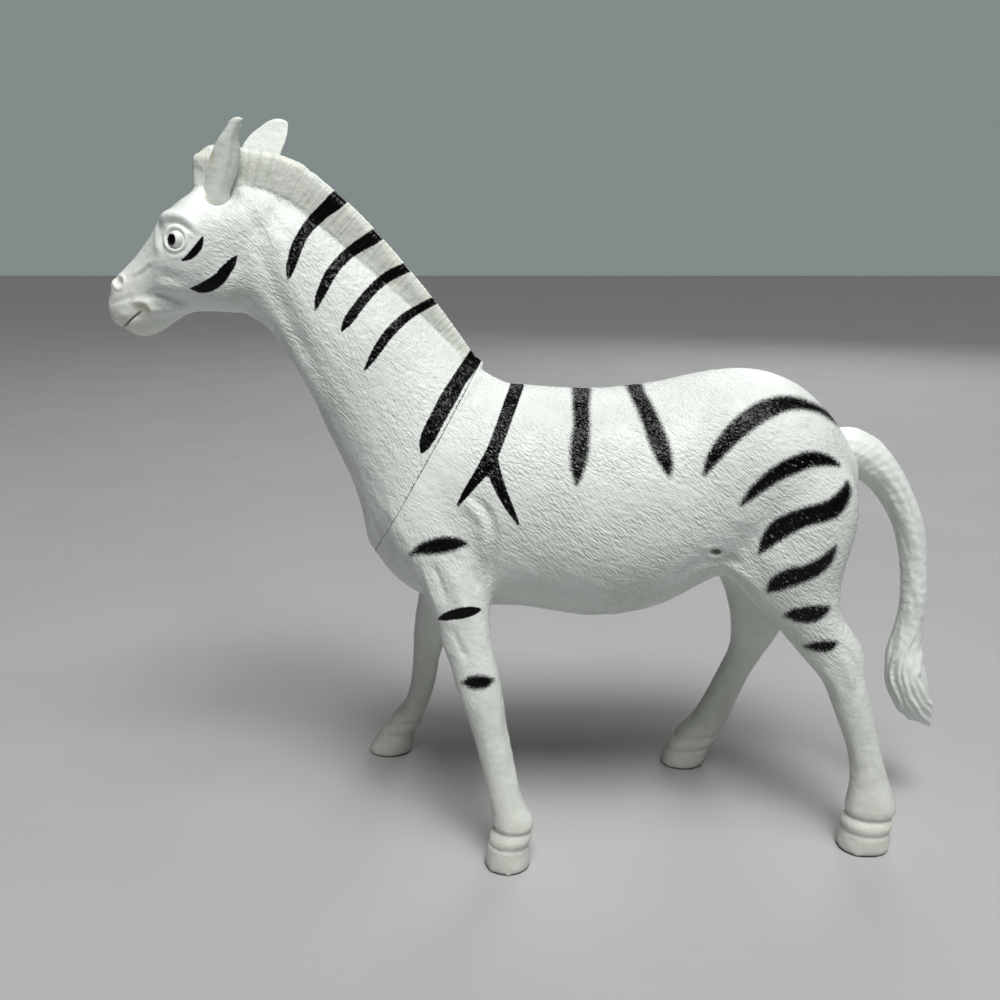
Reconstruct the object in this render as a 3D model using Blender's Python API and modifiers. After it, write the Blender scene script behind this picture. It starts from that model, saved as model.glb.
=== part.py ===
"""A standing toy zebra, moulded in thin soft plastic.

The body with its four legs is one hollow shell.  The neck and head are a second
hollow shell, whose collar plugs into the body along a straight slanting seam.
The tail and the two ears are small solid mouldings with roots pressed into holes.
The animal looks towards -X, its left side faces -Y, and its soles stand on Z = 0.
"""
import math

import bmesh
import bpy
import numpy as np
from mathutils import Matrix, Vector

# Driving sizes in metres
BODY_LENGTH = 0.127
BACK_HEIGHT = 0.116
BODY_WIDTH = 0.052
NECK_LENGTH = 0.065
NECK_WIDTH = 0.037
HEAD_LENGTH = 0.046
HEAD_WIDTH = 0.025
MANE_THICKNESS = 0.007
LEG_WIDTH = 0.012
FRONT_TRACK = 0.059
HIND_TRACK = 0.044
SEAM_HEIGHT = 0.0535
SEAM_LEAN = math.radians(29.7)
EAR_LENGTH = 0.0205
EAR_WIDTH = 0.0106
TAIL_LENGTH = 0.086
TAIL_THICKNESS = 0.0074

# Walls, fits and small features in metres
WALL = 0.002
LEG_WALL = 0.0032
CLEARANCE = 0.0003
COLLAR_HEIGHT = 0.044
COLLAR_WIDTH = 0.029
COLLAR_DEPTH = 0.007
COLLAR_WALL = 0.0016
COLLAR_SEAT = 0.004
END_ROUND = 0.003
VENT_LENGTH = 0.0026
VENT_HEIGHT = 0.0014
VENT_DEPTH = 0.026
OVERRUN = 0.004
SHARP_FROM = math.radians(40)
WELD_REACH = 0.00002
CURVE_WELD_REACH = 0.00003
WORK_SPACE = 0.5

# Fineness of the surfaces
FORM_GRAIN = 0.001
CAVITY_GRAIN = 0.0022
FORM_TRIANGLES = 8200
CAVITY_TRIANGLES = 900
RING_POINTS = 40
RINGS_BETWEEN = 5
MANE_RING_POINTS = 14
MANE_RINGS_BETWEEN = 2
DOME_RINGS = 5
SOFT_ROUNDS = 34
FIRM_ROUNDS = 3

# Where the parts of the animal start, as shares of the sizes that they follow
SEAM_ALONG_SHARE = 0.128
SEAM_UP_SHARE = 0.838
SHOULDER_OUT_SHARE = 0.25
HIP_OUT_SHARE = 0.25
POLL_SHARES = (-0.542, 1.012)
HOLLOW_LEG_SHARE = 0.47
SOFT_FROM_SHARE = 0.42
SOFT_ABOVE_SHARE = 0.62
SOFT_NECK_SHARE = 0.4
SOFT_HEAD_SHARE = 0.75

# How far each section swells toward its lower side, and how far it is from a plain oval
BARREL_EGG_SHARE = 0.05
BARREL_SQUARE_SHARE = 0.92
NECK_EGG_SHARE = 0.12
HEAD_EGG_SHARE = -0.05
HEAD_SQUARE_SHARE = 0.9
LEG_SQUARE_SHARE = 0.95
MANE_SQUARE_SHARE = 0.55

# Barrel: along and width, with the top and bottom as shares of the back height
BARREL_SHARES = [
    (0.024, 0.819, 0.629, 0.38),
    (0.063, 0.905, 0.573, 0.62),
    (0.126, 0.957, 0.530, 0.77),
    (0.220, 1.000, 0.511, 0.87),
    (0.323, 0.998, 0.509, 0.92),
    (0.457, 0.990, 0.489, 1.00),
    (0.583, 1.004, 0.509, 0.98),
    (0.693, 1.030, 0.573, 0.94),
    (0.787, 1.032, 0.621, 0.90),
    (0.866, 0.998, 0.647, 0.81),
    (0.925, 0.939, 0.672, 0.63),
    (0.965, 0.879, 0.716, 0.38),
]

# Legs: height, front edge, back edge, splay from the trunk to the track, and width
SHOULDER_SHARES = [
    (0.888, 0.102, 0.228, 0.00, 0.67),
    (0.819, 0.067, 0.248, 0.00, 1.08),
    (0.750, 0.051, 0.264, 0.05, 1.33),
    (0.681, 0.063, 0.265, 0.12, 1.42),
]
NEAR_FORELEG_SHARES = SHOULDER_SHARES + [
    (0.612, 0.110, 0.260, 0.22, 1.29),
    (0.534, 0.145, 0.257, 0.34, 1.08),
    (0.466, 0.167, 0.263, 0.45, 0.90),
    (0.414, 0.183, 0.274, 0.54, 0.83),
    (0.362, 0.197, 0.282, 0.62, 0.80),
    (0.284, 0.222, 0.294, 0.72, 0.67),
    (0.207, 0.240, 0.308, 0.82, 0.62),
    (0.147, 0.253, 0.320, 0.90, 0.67),
    (0.108, 0.260, 0.339, 0.94, 0.82),
    (0.086, 0.260, 0.343, 0.96, 0.88),
    (0.074, 0.262, 0.333, 0.97, 0.82),
    (0.062, 0.251, 0.338, 0.98, 0.94),
    (0.050, 0.251, 0.333, 0.98, 0.91),
    (0.000, 0.243, 0.337, 1.00, 1.02),
]
FAR_FORELEG_SHARES = SHOULDER_SHARES + [
    (0.612, 0.087, 0.244, 0.22, 1.29),
    (0.534, 0.096, 0.220, 0.34, 1.08),
    (0.466, 0.093, 0.197, 0.45, 0.90),
    (0.414, 0.085, 0.173, 0.54, 0.83),
    (0.345, 0.077, 0.154, 0.64, 0.78),
    (0.276, 0.073, 0.136, 0.73, 0.67),
    (0.207, 0.066, 0.125, 0.82, 0.62),
    (0.147, 0.050, 0.109, 0.90, 0.67),
    (0.108, 0.022, 0.096, 0.94, 0.82),
    (0.086, 0.008, 0.090, 0.96, 0.87),
    (0.074, 0.003, 0.080, 0.97, 0.82),
    (0.062, -0.012, 0.078, 0.98, 0.94),
    (0.050, -0.015, 0.070, 0.98, 0.91),
    (0.000, -0.043, 0.065, 1.00, 1.02),
]
HIP_SHARES = [
    (0.888, 0.780, 0.900, 0.00, 0.95),
    (0.819, 0.748, 0.950, 0.00, 1.50),
    (0.750, 0.717, 0.967, 0.00, 1.75),
    (0.681, 0.697, 0.959, 0.04, 1.79),
]
NEAR_HINDLEG_SHARES = HIP_SHARES + [
    (0.629, 0.701, 0.946, 0.08, 1.71),
    (0.578, 0.744, 0.940, 0.13, 1.50),
    (0.526, 0.787, 0.943, 0.20, 1.29),
    (0.483, 0.827, 0.970, 0.28, 1.08),
    (0.440, 0.862, 0.991, 0.38, 0.95),
    (0.379, 0.910, 0.997, 0.52, 0.82),
    (0.310, 0.937, 1.013, 0.64, 0.70),
    (0.233, 0.964, 1.031, 0.76, 0.63),
    (0.164, 0.975, 1.049, 0.86, 0.67),
    (0.116, 0.971, 1.065, 0.93, 0.82),
    (0.091, 0.967, 1.069, 0.96, 0.88),
    (0.076, 0.970, 1.060, 0.97, 0.82),
    (0.063, 0.961, 1.065, 0.98, 0.94),
    (0.051, 0.963, 1.059, 0.98, 0.91),
    (0.000, 0.954, 1.061, 1.00, 1.02),
]
FAR_HINDLEG_SHARES = HIP_SHARES + [
    (0.629, 0.705, 0.946, 0.08, 1.71),
    (0.560, 0.736, 0.941, 0.15, 1.46),
    (0.491, 0.768, 0.926, 0.25, 1.17),
    (0.422, 0.787, 0.909, 0.38, 0.95),
    (0.371, 0.794, 0.898, 0.50, 0.83),
    (0.319, 0.791, 0.873, 0.60, 0.73),
    (0.259, 0.772, 0.846, 0.72, 0.65),
    (0.190, 0.746, 0.824, 0.82, 0.63),
    (0.138, 0.723, 0.808, 0.90, 0.70),
    (0.103, 0.696, 0.797, 0.94, 0.82),
    (0.084, 0.682, 0.792, 0.96, 0.87),
    (0.072, 0.679, 0.779, 0.97, 0.82),
    (0.062, 0.669, 0.779, 0.98, 0.94),
    (0.051, 0.668, 0.770, 0.98, 0.91),
    (0.000, 0.651, 0.754, 1.00, 1.02),
]

# Neck, from the middle of the seam: crest point, throat point and width
NECK_SHARES = [
    (0.065, 0.481, -0.293, -0.081, 0.78),
    (-0.135, 0.681, -0.416, 0.181, 0.59),
    (-0.312, 0.832, -0.512, 0.373, 0.50),
    (-0.465, 0.947, -0.595, 0.504, 0.49),
    (-0.619, 1.012, -0.712, 0.581, 0.51),
]

# Head, from the poll: upper point, lower point and width
HEAD_SHARES = [
    (-0.022, -0.022, -0.065, -0.543, 0.64),
    (-0.196, 0.022, -0.185, -0.635, 0.80),
    (-0.348, -0.004, -0.326, -0.633, 0.92),
    (-0.472, -0.070, -0.457, -0.635, 0.96),
    (-0.578, -0.167, -0.543, -0.670, 0.82),
    (-0.657, -0.270, -0.620, -0.726, 0.63),
    (-0.748, -0.372, -0.691, -0.761, 0.54),
    (-0.812, -0.430, -0.762, -0.767, 0.54),
    (-0.848, -0.520, -0.815, -0.725, 0.44),
]

# Lumps on each side of the head: place along, up and out, then the three half sizes
HEAD_LUMP_SHARES = {
    "brow": (-0.438, -0.160, 0.33, 0.115, 0.060, 0.055),
    "eye": (-0.462, -0.262, 0.405, 0.048, 0.040, 0.048),
    "cheek": (-0.270, -0.430, 0.27, 0.150, 0.090, 0.160),
    "nostril": (-0.830, -0.495, 0.16, 0.042, 0.035, 0.035),
}

# Mane, from the middle of the seam: outer edge, inner edge and thickness
MANE_SHARES = [
    (-0.822, 1.132, -0.822, 0.950, 0.91),
    (-0.773, 1.159, -0.761, 0.965, 1.00),
    (-0.665, 1.155, -0.665, 0.950, 0.86),
    (-0.558, 1.138, -0.588, 0.935, 0.77),
    (-0.442, 1.101, -0.504, 0.904, 0.71),
    (-0.342, 1.021, -0.412, 0.850, 0.71),
    (-0.230, 0.922, -0.296, 0.773, 0.69),
    (-0.085, 0.761, -0.158, 0.650, 0.63),
    (0.062, 0.581, -0.004, 0.488, 0.57),
    (0.165, 0.438, 0.104, 0.365, 0.51),
    (0.208, 0.378, 0.158, 0.312, 0.49),
]

# Ear: place along, half width, depth of the back and depth of the cup
EAR_SHARES = [
    (-0.22, 0.31, 0.31, -0.31),
    (0.00, 0.32, 0.32, -0.31),
    (0.13, 0.37, 0.35, -0.18),
    (0.27, 0.45, 0.37, 0.06),
    (0.46, 0.50, 0.35, 0.17),
    (0.65, 0.42, 0.27, 0.13),
    (0.82, 0.27, 0.18, 0.07),
    (0.94, 0.16, 0.09, 0.01),
]
EAR_HOLE_ROWS = 5
EAR_POINTS = 9
EAR_SPREAD = math.radians(20)
EAR_FACING = math.radians(50)

# Each ear: side, lean back, reach, and the place of its foot along, up and out
EARS = {
    "left_ear": (-1, math.radians(21), 0.97, (-0.260, -0.075, 0.21)),
    "right_ear": (1, math.radians(30), 1.14, (-0.235, -0.065, 0.21)),
}

# Tail, from the middle of its root: place back, place up and thickness
TAIL_ROOT_SHARES = (0.921, 0.858)
TAIL_SHARES = [
    (-0.030, 0.010, 0.80),
    (0.030, 0.012, 1.12),
    (0.068, 0.007, 1.40),
    (0.107, -0.011, 1.47),
    (0.153, -0.045, 1.40),
    (0.198, -0.094, 1.22),
    (0.248, -0.173, 1.08),
    (0.280, -0.244, 1.01),
    (0.302, -0.344, 0.93),
    (0.314, -0.473, 0.89),
    (0.309, -0.564, 0.93),
    (0.305, -0.634, 1.16),
    (0.309, -0.692, 1.41),
    (0.324, -0.750, 1.46),
    (0.349, -0.808, 1.27),
    (0.379, -0.851, 0.85),
    (0.407, -0.885, 0.22),
]
TAIL_HOLE_ROWS = 7
TAIL_STEPS = 3

VENT_SHARES = (0.675, 0.680)

MATERIALS = {
    "body_shell": ((0.80, 0.82, 0.79, 1.0), 0.42),
    "head_neck_shell": ((0.80, 0.82, 0.79, 1.0), 0.42),
    "tail": ((0.76, 0.79, 0.75, 1.0), 0.45),
    "left_ear": ((0.74, 0.76, 0.66, 1.0), 0.45),
    "right_ear": ((0.78, 0.79, 0.72, 1.0), 0.45),
}


def clear_scene():
    for item in list(bpy.data.objects):
        bpy.data.objects.remove(item, do_unlink=True)


def new_collection(name):
    group = bpy.data.collections.new(name)
    bpy.context.scene.collection.children.link(group)
    return group


def smooth_rows(rows, steps):
    """Rows of numbers read along a smooth curve that passes through all of them."""
    rows = np.array(rows, dtype=float)
    ends = np.vstack([2 * rows[0] - rows[1], rows, 2 * rows[-1] - rows[-2]])
    result = []
    for i in range(len(rows) - 1):
        a, b, c, d = ends[i:i + 4]
        for step in range(steps):
            t = step / steps
            bend = (2 * a - 5 * b + 4 * c - d) * t * t + (3 * b - a - 3 * c + d) * t ** 3
            result.append((2 * b + (c - a) * t + bend) / 2)
    result.append(rows[-1])
    return result


def ramp(value, low, high):
    return min(1, max(0, (value - low) / (high - low)))


def rounded(value, power):
    return math.copysign(abs(value) ** power, value)


def ring(upper, lower, middle_y, half_width, egg, square, count):
    """One closed section between an upper and a lower point of the side view."""
    centre = (upper + lower) / 2
    half = (upper - lower) / 2
    points = []
    for k in range(count):
        angle = 2 * math.pi * k / count
        rise = rounded(math.cos(angle), square)
        side = rounded(math.sin(angle), square) * (1 - egg * rise)
        place = centre + half * rise
        points.append(Vector((place.x, middle_y + half_width * side, place.z)))
    return points


def dome(points, apex_step):
    """Rings that close an end, rounding over by the step to its highest point."""
    centre = sum(points, Vector()) / len(points)
    rings = []
    for k in range(1, DOME_RINGS):
        angle = math.pi / 2 * k / DOME_RINGS
        shift = apex_step * math.sin(angle)
        rings.append([centre + (p - centre) * math.cos(angle) + shift for p in points])
    return rings, centre + apex_step


def skin_rings(rings, first_apex, last_apex):
    """A closed mesh over a row of rings with as many points each."""
    mesh = bmesh.new()
    rows = [[mesh.verts.new(p) for p in points] for points in rings]
    for near, far in zip(rows, rows[1:]):
        for k in range(len(near)):
            n = (k + 1) % len(near)
            mesh.faces.new((near[k], near[n], far[n], far[k]))
    for row, apex in ((rows[0], first_apex), (rows[-1], last_apex)):
        tip = mesh.verts.new(apex)
        for k in range(len(row)):
            mesh.faces.new((row[k], row[(k + 1) % len(row)], tip))
    bmesh.ops.recalc_face_normals(mesh, faces=mesh.faces)
    return mesh


def add_object(name, mesh, group):
    data = bpy.data.meshes.new(name)
    mesh.to_mesh(data)
    mesh.free()
    item = bpy.data.objects.new(name, data)
    group.objects.link(item)
    return item


def loft(name, group, rows, start_dome, end_dome, inset=0.0, egg=0.0, square=1.0,
         steps=RINGS_BETWEEN, count=RING_POINTS):
    """A body through sections: upper x and z, lower x and z, middle y and width."""
    rings = []
    for row in smooth_rows(rows, steps):
        upper = Vector((row[0], 0, row[1]))
        lower = Vector((row[2], 0, row[3]))
        inward = (upper - lower).normalized() * inset
        half_width = row[5] / 2 - inset
        rings.append(ring(upper - inward, lower + inward, row[4], half_width, egg, square, count))
    ends = []
    for points, beside, depth in ((rings[0], rings[1], start_dome), (rings[-1], rings[-2], end_dome)):
        across = points[0] - points[count // 2]
        out = Vector((across.z, 0, -across.x)).normalized()
        if out.dot(points[0] + points[count // 2] - beside[0] - beside[count // 2]) < 0:
            out = -out
        ends.append(dome(points, out * max(depth - inset, 0)))
    if start_dome:
        rings = ends[0][0][::-1] + rings
    if end_dome:
        rings = rings + ends[1][0]
    return add_object(name, skin_rings(rings, ends[0][1], ends[1][1]), group)


def ball(name, group, centre, half_sizes):
    mesh = bmesh.new()
    bmesh.ops.create_uvsphere(mesh, u_segments=20, v_segments=12, radius=1)
    bmesh.ops.scale(mesh, vec=half_sizes, verts=mesh.verts)
    bmesh.ops.translate(mesh, vec=centre, verts=mesh.verts)
    return add_object(name, mesh, group)


def block(name, group, centre, size, turn=0.0):
    mesh = bmesh.new()
    bmesh.ops.create_cube(mesh, size=1)
    bmesh.ops.scale(mesh, vec=size, verts=mesh.verts)
    bmesh.ops.rotate(mesh, cent=(0, 0, 0), matrix=Matrix.Rotation(turn, 3, "Y"), verts=mesh.verts)
    bmesh.ops.translate(mesh, vec=centre, verts=mesh.verts)
    return add_object(name, mesh, group)


def join(name, items, group):
    """One object that holds the meshes of several."""
    mesh = bmesh.new()
    for item in items:
        mesh.from_mesh(item.data)
        bpy.data.objects.remove(item, do_unlink=True)
    return add_object(name, mesh, group)


def settle(item):
    """Replace an object's mesh by the one that its modifiers give."""
    depsgraph = bpy.context.evaluated_depsgraph_get()
    data = bpy.data.meshes.new_from_object(item.evaluated_get(depsgraph))
    item.modifiers.clear()
    item.data = data


def remesh(item, grain):
    step = item.modifiers.new("remesh", "REMESH")
    step.mode = "VOXEL"
    step.voxel_size = grain
    settle(item)


def smooth(item, rounds, group_name=""):
    step = item.modifiers.new("smooth", "SMOOTH")
    step.factor = 0.5
    step.iterations = rounds
    step.vertex_group = group_name


def thin_out(item, triangles):
    item.data.calc_loop_triangles()
    step = item.modifiers.new("thin_out", "DECIMATE")
    step.ratio = min(1.0, triangles / len(item.data.loop_triangles))


def cut(item, cutter, operation="DIFFERENCE"):
    step = item.modifiers.new(cutter.name, "BOOLEAN")
    step.operation = operation
    step.solver = "EXACT"
    step.object = cutter
    weld = item.modifiers.new("weld", "WELD")
    weld.merge_threshold = WELD_REACH


# Places that several pieces share
SEAM = Vector((BODY_LENGTH * SEAM_ALONG_SHARE, 0, BACK_HEIGHT * SEAM_UP_SHARE))
SEAM_UP = Vector((math.sin(SEAM_LEAN), 0, math.cos(SEAM_LEAN)))
SEAM_FORWARD = Vector((-math.cos(SEAM_LEAN), 0, math.sin(SEAM_LEAN)))
POLL = SEAM + NECK_LENGTH * Vector((POLL_SHARES[0], 0, POLL_SHARES[1]))


def barrel_rows():
    rows = []
    for along, top, bottom, width in BARREL_SHARES:
        x = BODY_LENGTH * along
        rows.append((x, BACK_HEIGHT * top, x, BACK_HEIGHT * bottom, 0, BODY_WIDTH * width))
    return rows


def leg_rows(shares, side, out_share, track, lowest_share=-1.0):
    rows = []
    for up, front, back, splay, width in shares:
        if up < lowest_share:
            continue
        z = BACK_HEIGHT * up
        y = side * (BODY_WIDTH * out_share * (1 - splay) + track / 2 * splay)
        rows.append((BODY_LENGTH * front, z, BODY_LENGTH * back, z, y, LEG_WIDTH * width))
    return rows


def hoof_to_below(rows):
    """The same leg with its hoof carried on below the floor, where it is cut flat."""
    last = rows[-1]
    return rows + [(last[0], -OVERRUN, last[2], -OVERRUN, last[4], last[5])]


def seam_row(shift=0.0, height=SEAM_HEIGHT, width=NECK_WIDTH):
    """A section parallel to the seam, so far before it."""
    centre = SEAM + SEAM_FORWARD * shift
    upper = centre + SEAM_UP * height / 2
    lower = centre - SEAM_UP * height / 2
    return (upper.x, upper.z, lower.x, lower.z, 0, width)


def neck_rows():
    rows = [seam_row(-COLLAR_DEPTH - OVERRUN), seam_row()]
    for x_up, z_up, x_low, z_low, width in NECK_SHARES:
        rows.append((SEAM.x + NECK_LENGTH * x_up, SEAM.z + NECK_LENGTH * z_up,
                     SEAM.x + NECK_LENGTH * x_low, SEAM.z + NECK_LENGTH * z_low,
                     0, NECK_WIDTH * width))
    return rows


def head_rows():
    return [(POLL.x + HEAD_LENGTH * x_up, POLL.z + HEAD_LENGTH * z_up,
             POLL.x + HEAD_LENGTH * x_low, POLL.z + HEAD_LENGTH * z_low,
             0, HEAD_WIDTH * width)
            for x_up, z_up, x_low, z_low, width in HEAD_SHARES]


def mane_rows():
    return [(SEAM.x + NECK_LENGTH * x_out, SEAM.z + NECK_LENGTH * z_out,
             SEAM.x + NECK_LENGTH * x_in, SEAM.z + NECK_LENGTH * z_in,
             0, MANE_THICKNESS * width)
            for x_out, z_out, x_in, z_in, width in MANE_SHARES]


LEGS = {
    "near_foreleg": (NEAR_FORELEG_SHARES, -1, SHOULDER_OUT_SHARE, FRONT_TRACK),
    "far_foreleg": (FAR_FORELEG_SHARES, 1, SHOULDER_OUT_SHARE, FRONT_TRACK),
    "near_hindleg": (NEAR_HINDLEG_SHARES, -1, HIP_OUT_SHARE, HIND_TRACK),
    "far_hindleg": (FAR_HINDLEG_SHARES, 1, HIP_OUT_SHARE, HIND_TRACK),
}


def head_lumps(group):
    lumps = []
    for name, (along, up, out, *half_shares) in HEAD_LUMP_SHARES.items():
        for side in (-1, 1):
            centre = POLL + Vector((HEAD_LENGTH * along, side * HEAD_WIDTH * out, HEAD_LENGTH * up))
            half_sizes = [HEAD_LENGTH * share for share in half_shares]
            lumps.append(ball(name, group, centre, half_sizes))
    return lumps


def animal_form(group):
    """The whole outer form without mane, ears and tail, as one smooth skin."""
    items = [
        loft("barrel", group, barrel_rows(), END_ROUND, END_ROUND,
             egg=BARREL_EGG_SHARE, square=BARREL_SQUARE_SHARE),
        loft("neck", group, neck_rows(), 0, END_ROUND, egg=NECK_EGG_SHARE),
        loft("head", group, head_rows(), END_ROUND, END_ROUND,
             egg=HEAD_EGG_SHARE, square=HEAD_SQUARE_SHARE),
    ]
    for name, (shares, side, out_share, track) in LEGS.items():
        rows = hoof_to_below(leg_rows(shares, side, out_share, track))
        items.append(loft(name, group, rows, END_ROUND, 0, square=LEG_SQUARE_SHARE))
    items += head_lumps(group)
    form = join("animal_form", items, group)
    remesh(form, FORM_GRAIN)
    soft = form.vertex_groups.new(name="trunk")
    for vertex in form.data.vertices:
        up = vertex.co.z / BACK_HEIGHT
        ahead = (vertex.co - SEAM).dot(SEAM_FORWARD) / NECK_LENGTH
        above_legs = ramp(up, SOFT_FROM_SHARE, SOFT_ABOVE_SHARE)
        behind_head = ramp(-ahead, -SOFT_HEAD_SHARE, -SOFT_NECK_SHARE)
        soft.add([vertex.index], above_legs * behind_head, "REPLACE")
    smooth(form, SOFT_ROUNDS, "trunk")
    smooth(form, FIRM_ROUNDS)
    settle(form)
    thin_out(form, FORM_TRIANGLES)
    settle(form)
    return form


def cavity_form(name, group, head_side):
    """The hollow of one shell, a wall's thickness inside its outer form."""
    items = []
    if head_side:
        rows = [seam_row(COLLAR_SEAT)] + neck_rows()[2:]
        items.append(loft("neck_hollow", group, rows, 0, END_ROUND, WALL, egg=NECK_EGG_SHARE))
        items.append(loft("head_hollow", group, head_rows()[:-1], END_ROUND, END_ROUND, WALL,
                          egg=HEAD_EGG_SHARE))
    else:
        items.append(loft("barrel_hollow", group, barrel_rows()[:-1], END_ROUND, END_ROUND, WALL,
                          egg=BARREL_EGG_SHARE, square=BARREL_SQUARE_SHARE))
        for part, (shares, side, out_share, track) in LEGS.items():
            rows = leg_rows(shares, side, out_share, track, HOLLOW_LEG_SHARE)
            items.append(loft(part + "_hollow", group, rows[1:], END_ROUND, END_ROUND, LEG_WALL))
    form = join(name, items, group)
    remesh(form, CAVITY_GRAIN)
    smooth(form, FIRM_ROUNDS)
    settle(form)
    thin_out(form, CAVITY_TRIANGLES)
    settle(form)
    if not head_side:
        cut(form, half_space("behind_rim", group, -1, WALL), "INTERSECT")
    return form


def seam_oval(name, group, inset, back, ahead):
    """A straight oval across the seam, set in from the outside of the collar's hole."""
    height = COLLAR_HEIGHT - 2 * inset
    width = COLLAR_WIDTH - 2 * inset
    rows = [seam_row(-back, height, width), seam_row(ahead, height, width)]
    return loft(name, group, rows, 0, 0, egg=NECK_EGG_SHARE, steps=1)


def half_space(name, group, side, away):
    """A block that holds all that lies on one side of the seam, from so far away on."""
    size = WORK_SPACE
    centre = SEAM + SEAM_FORWARD * side * (size / 2 + away)
    return block(name, group, centre, (size, size, size), SEAM_LEAN)


def tail_mesh(name, group, extra=0.0, rows_kept=None):
    """The tail as a thick line of changing thickness."""
    root = Vector((BODY_LENGTH * TAIL_ROOT_SHARES[0], 0, BACK_HEIGHT * TAIL_ROOT_SHARES[1]))
    rows = smooth_rows(TAIL_SHARES[:rows_kept], TAIL_STEPS)
    curve = bpy.data.curves.new(name, "CURVE")
    curve.dimensions = "3D"
    curve.bevel_depth = TAIL_THICKNESS / 2
    curve.bevel_resolution = 4
    curve.use_fill_caps = True
    line = curve.splines.new("POLY")
    line.points.add(len(rows) - 1)
    for point, (back, up, thick) in zip(line.points, rows):
        point.co = (root.x + TAIL_LENGTH * back, 0, root.z + TAIL_LENGTH * up, 1)
        point.radius = thick + 2 * extra / TAIL_THICKNESS
    source = bpy.data.objects.new(name + "_line", curve)
    group.objects.link(source)
    depsgraph = bpy.context.evaluated_depsgraph_get()
    depsgraph.update()
    mesh = bmesh.new()
    mesh.from_mesh(bpy.data.meshes.new_from_object(source.evaluated_get(depsgraph)))
    bpy.data.objects.remove(source, do_unlink=True)
    bmesh.ops.remove_doubles(mesh, verts=mesh.verts, dist=CURVE_WELD_REACH)
    bmesh.ops.recalc_face_normals(mesh, faces=mesh.faces)
    return add_object(name, mesh, group)


def ear_mesh(name, group, ear, extra=0.0, rows_kept=None):
    """A cupped leaf on a round root; the cup faces forward and outward."""
    side, lean, reach, (along, up, out) = EARS[ear]
    axis = Vector((math.sin(lean), side * math.sin(EAR_SPREAD), math.cos(lean))).normalized()
    front = Vector((-math.cos(EAR_FACING), side * math.sin(EAR_FACING), 0))
    front = (front - axis * front.dot(axis)).normalized()
    across = axis.cross(front)
    foot = POLL + Vector((HEAD_LENGTH * along, side * HEAD_WIDTH * out, HEAD_LENGTH * up))
    rings = []
    rows = smooth_rows(EAR_SHARES[:rows_kept], 3)
    for place, half_width, back, cup in rows:
        centre = foot + axis * EAR_LENGTH * reach * place
        points = []
        for k in range(EAR_POINTS):
            angle = math.pi * k / (EAR_POINTS - 1)
            points.append(centre + across * math.cos(angle) * (EAR_WIDTH * half_width + extra)
                          - front * math.sin(angle) * (EAR_WIDTH * back + extra))
        for k in range(EAR_POINTS - 2, 0, -1):
            angle = math.pi * k / (EAR_POINTS - 1)
            points.append(centre + across * math.cos(angle) * (EAR_WIDTH * half_width + extra)
                          - front * math.sin(angle) * (EAR_WIDTH * cup - extra))
        rings.append(points)
    first = sum(rings[0], Vector()) / len(rings[0])
    last = sum(rings[-1], Vector()) / len(rings[-1])
    tip = last if rows_kept else last + axis * EAR_LENGTH * reach * (1 - EAR_SHARES[-1][0])
    return add_object(name, skin_rings(rings, first, tip), group)


def shade_round(item):
    item.data.shade_smooth()
    item.data.set_sharp_from_angle(angle=SHARP_FROM)


def finish_piece(item):
    colour, roughness = MATERIALS[item.name]
    material = bpy.data.materials.new(item.name)
    material.use_nodes = True
    shader = material.node_tree.nodes["Principled BSDF"]
    shader.inputs["Base Color"].default_value = colour
    shader.inputs["Roughness"].default_value = roughness
    shader.inputs["Metallic"].default_value = 0.0
    item.data.materials.clear()
    item.data.materials.append(material)
    shade_round(item)


def stand_at_origin(items, form, tail):
    """Hang everything on one empty, so that the middle of the animal is over the origin."""
    ahead = min(vertex.co.x for vertex in form.data.vertices)
    behind = max(vertex.co.x for vertex in tail.data.vertices)
    sides = [vertex.co.y for vertex in form.data.vertices]
    stand = bpy.data.objects.new("stand_point", None)
    bpy.context.scene.collection.objects.link(stand)
    stand.location = (-(ahead + behind) / 2, -(min(sides) + max(sides)) / 2, 0)
    for item in items:
        item.parent = stand


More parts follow.
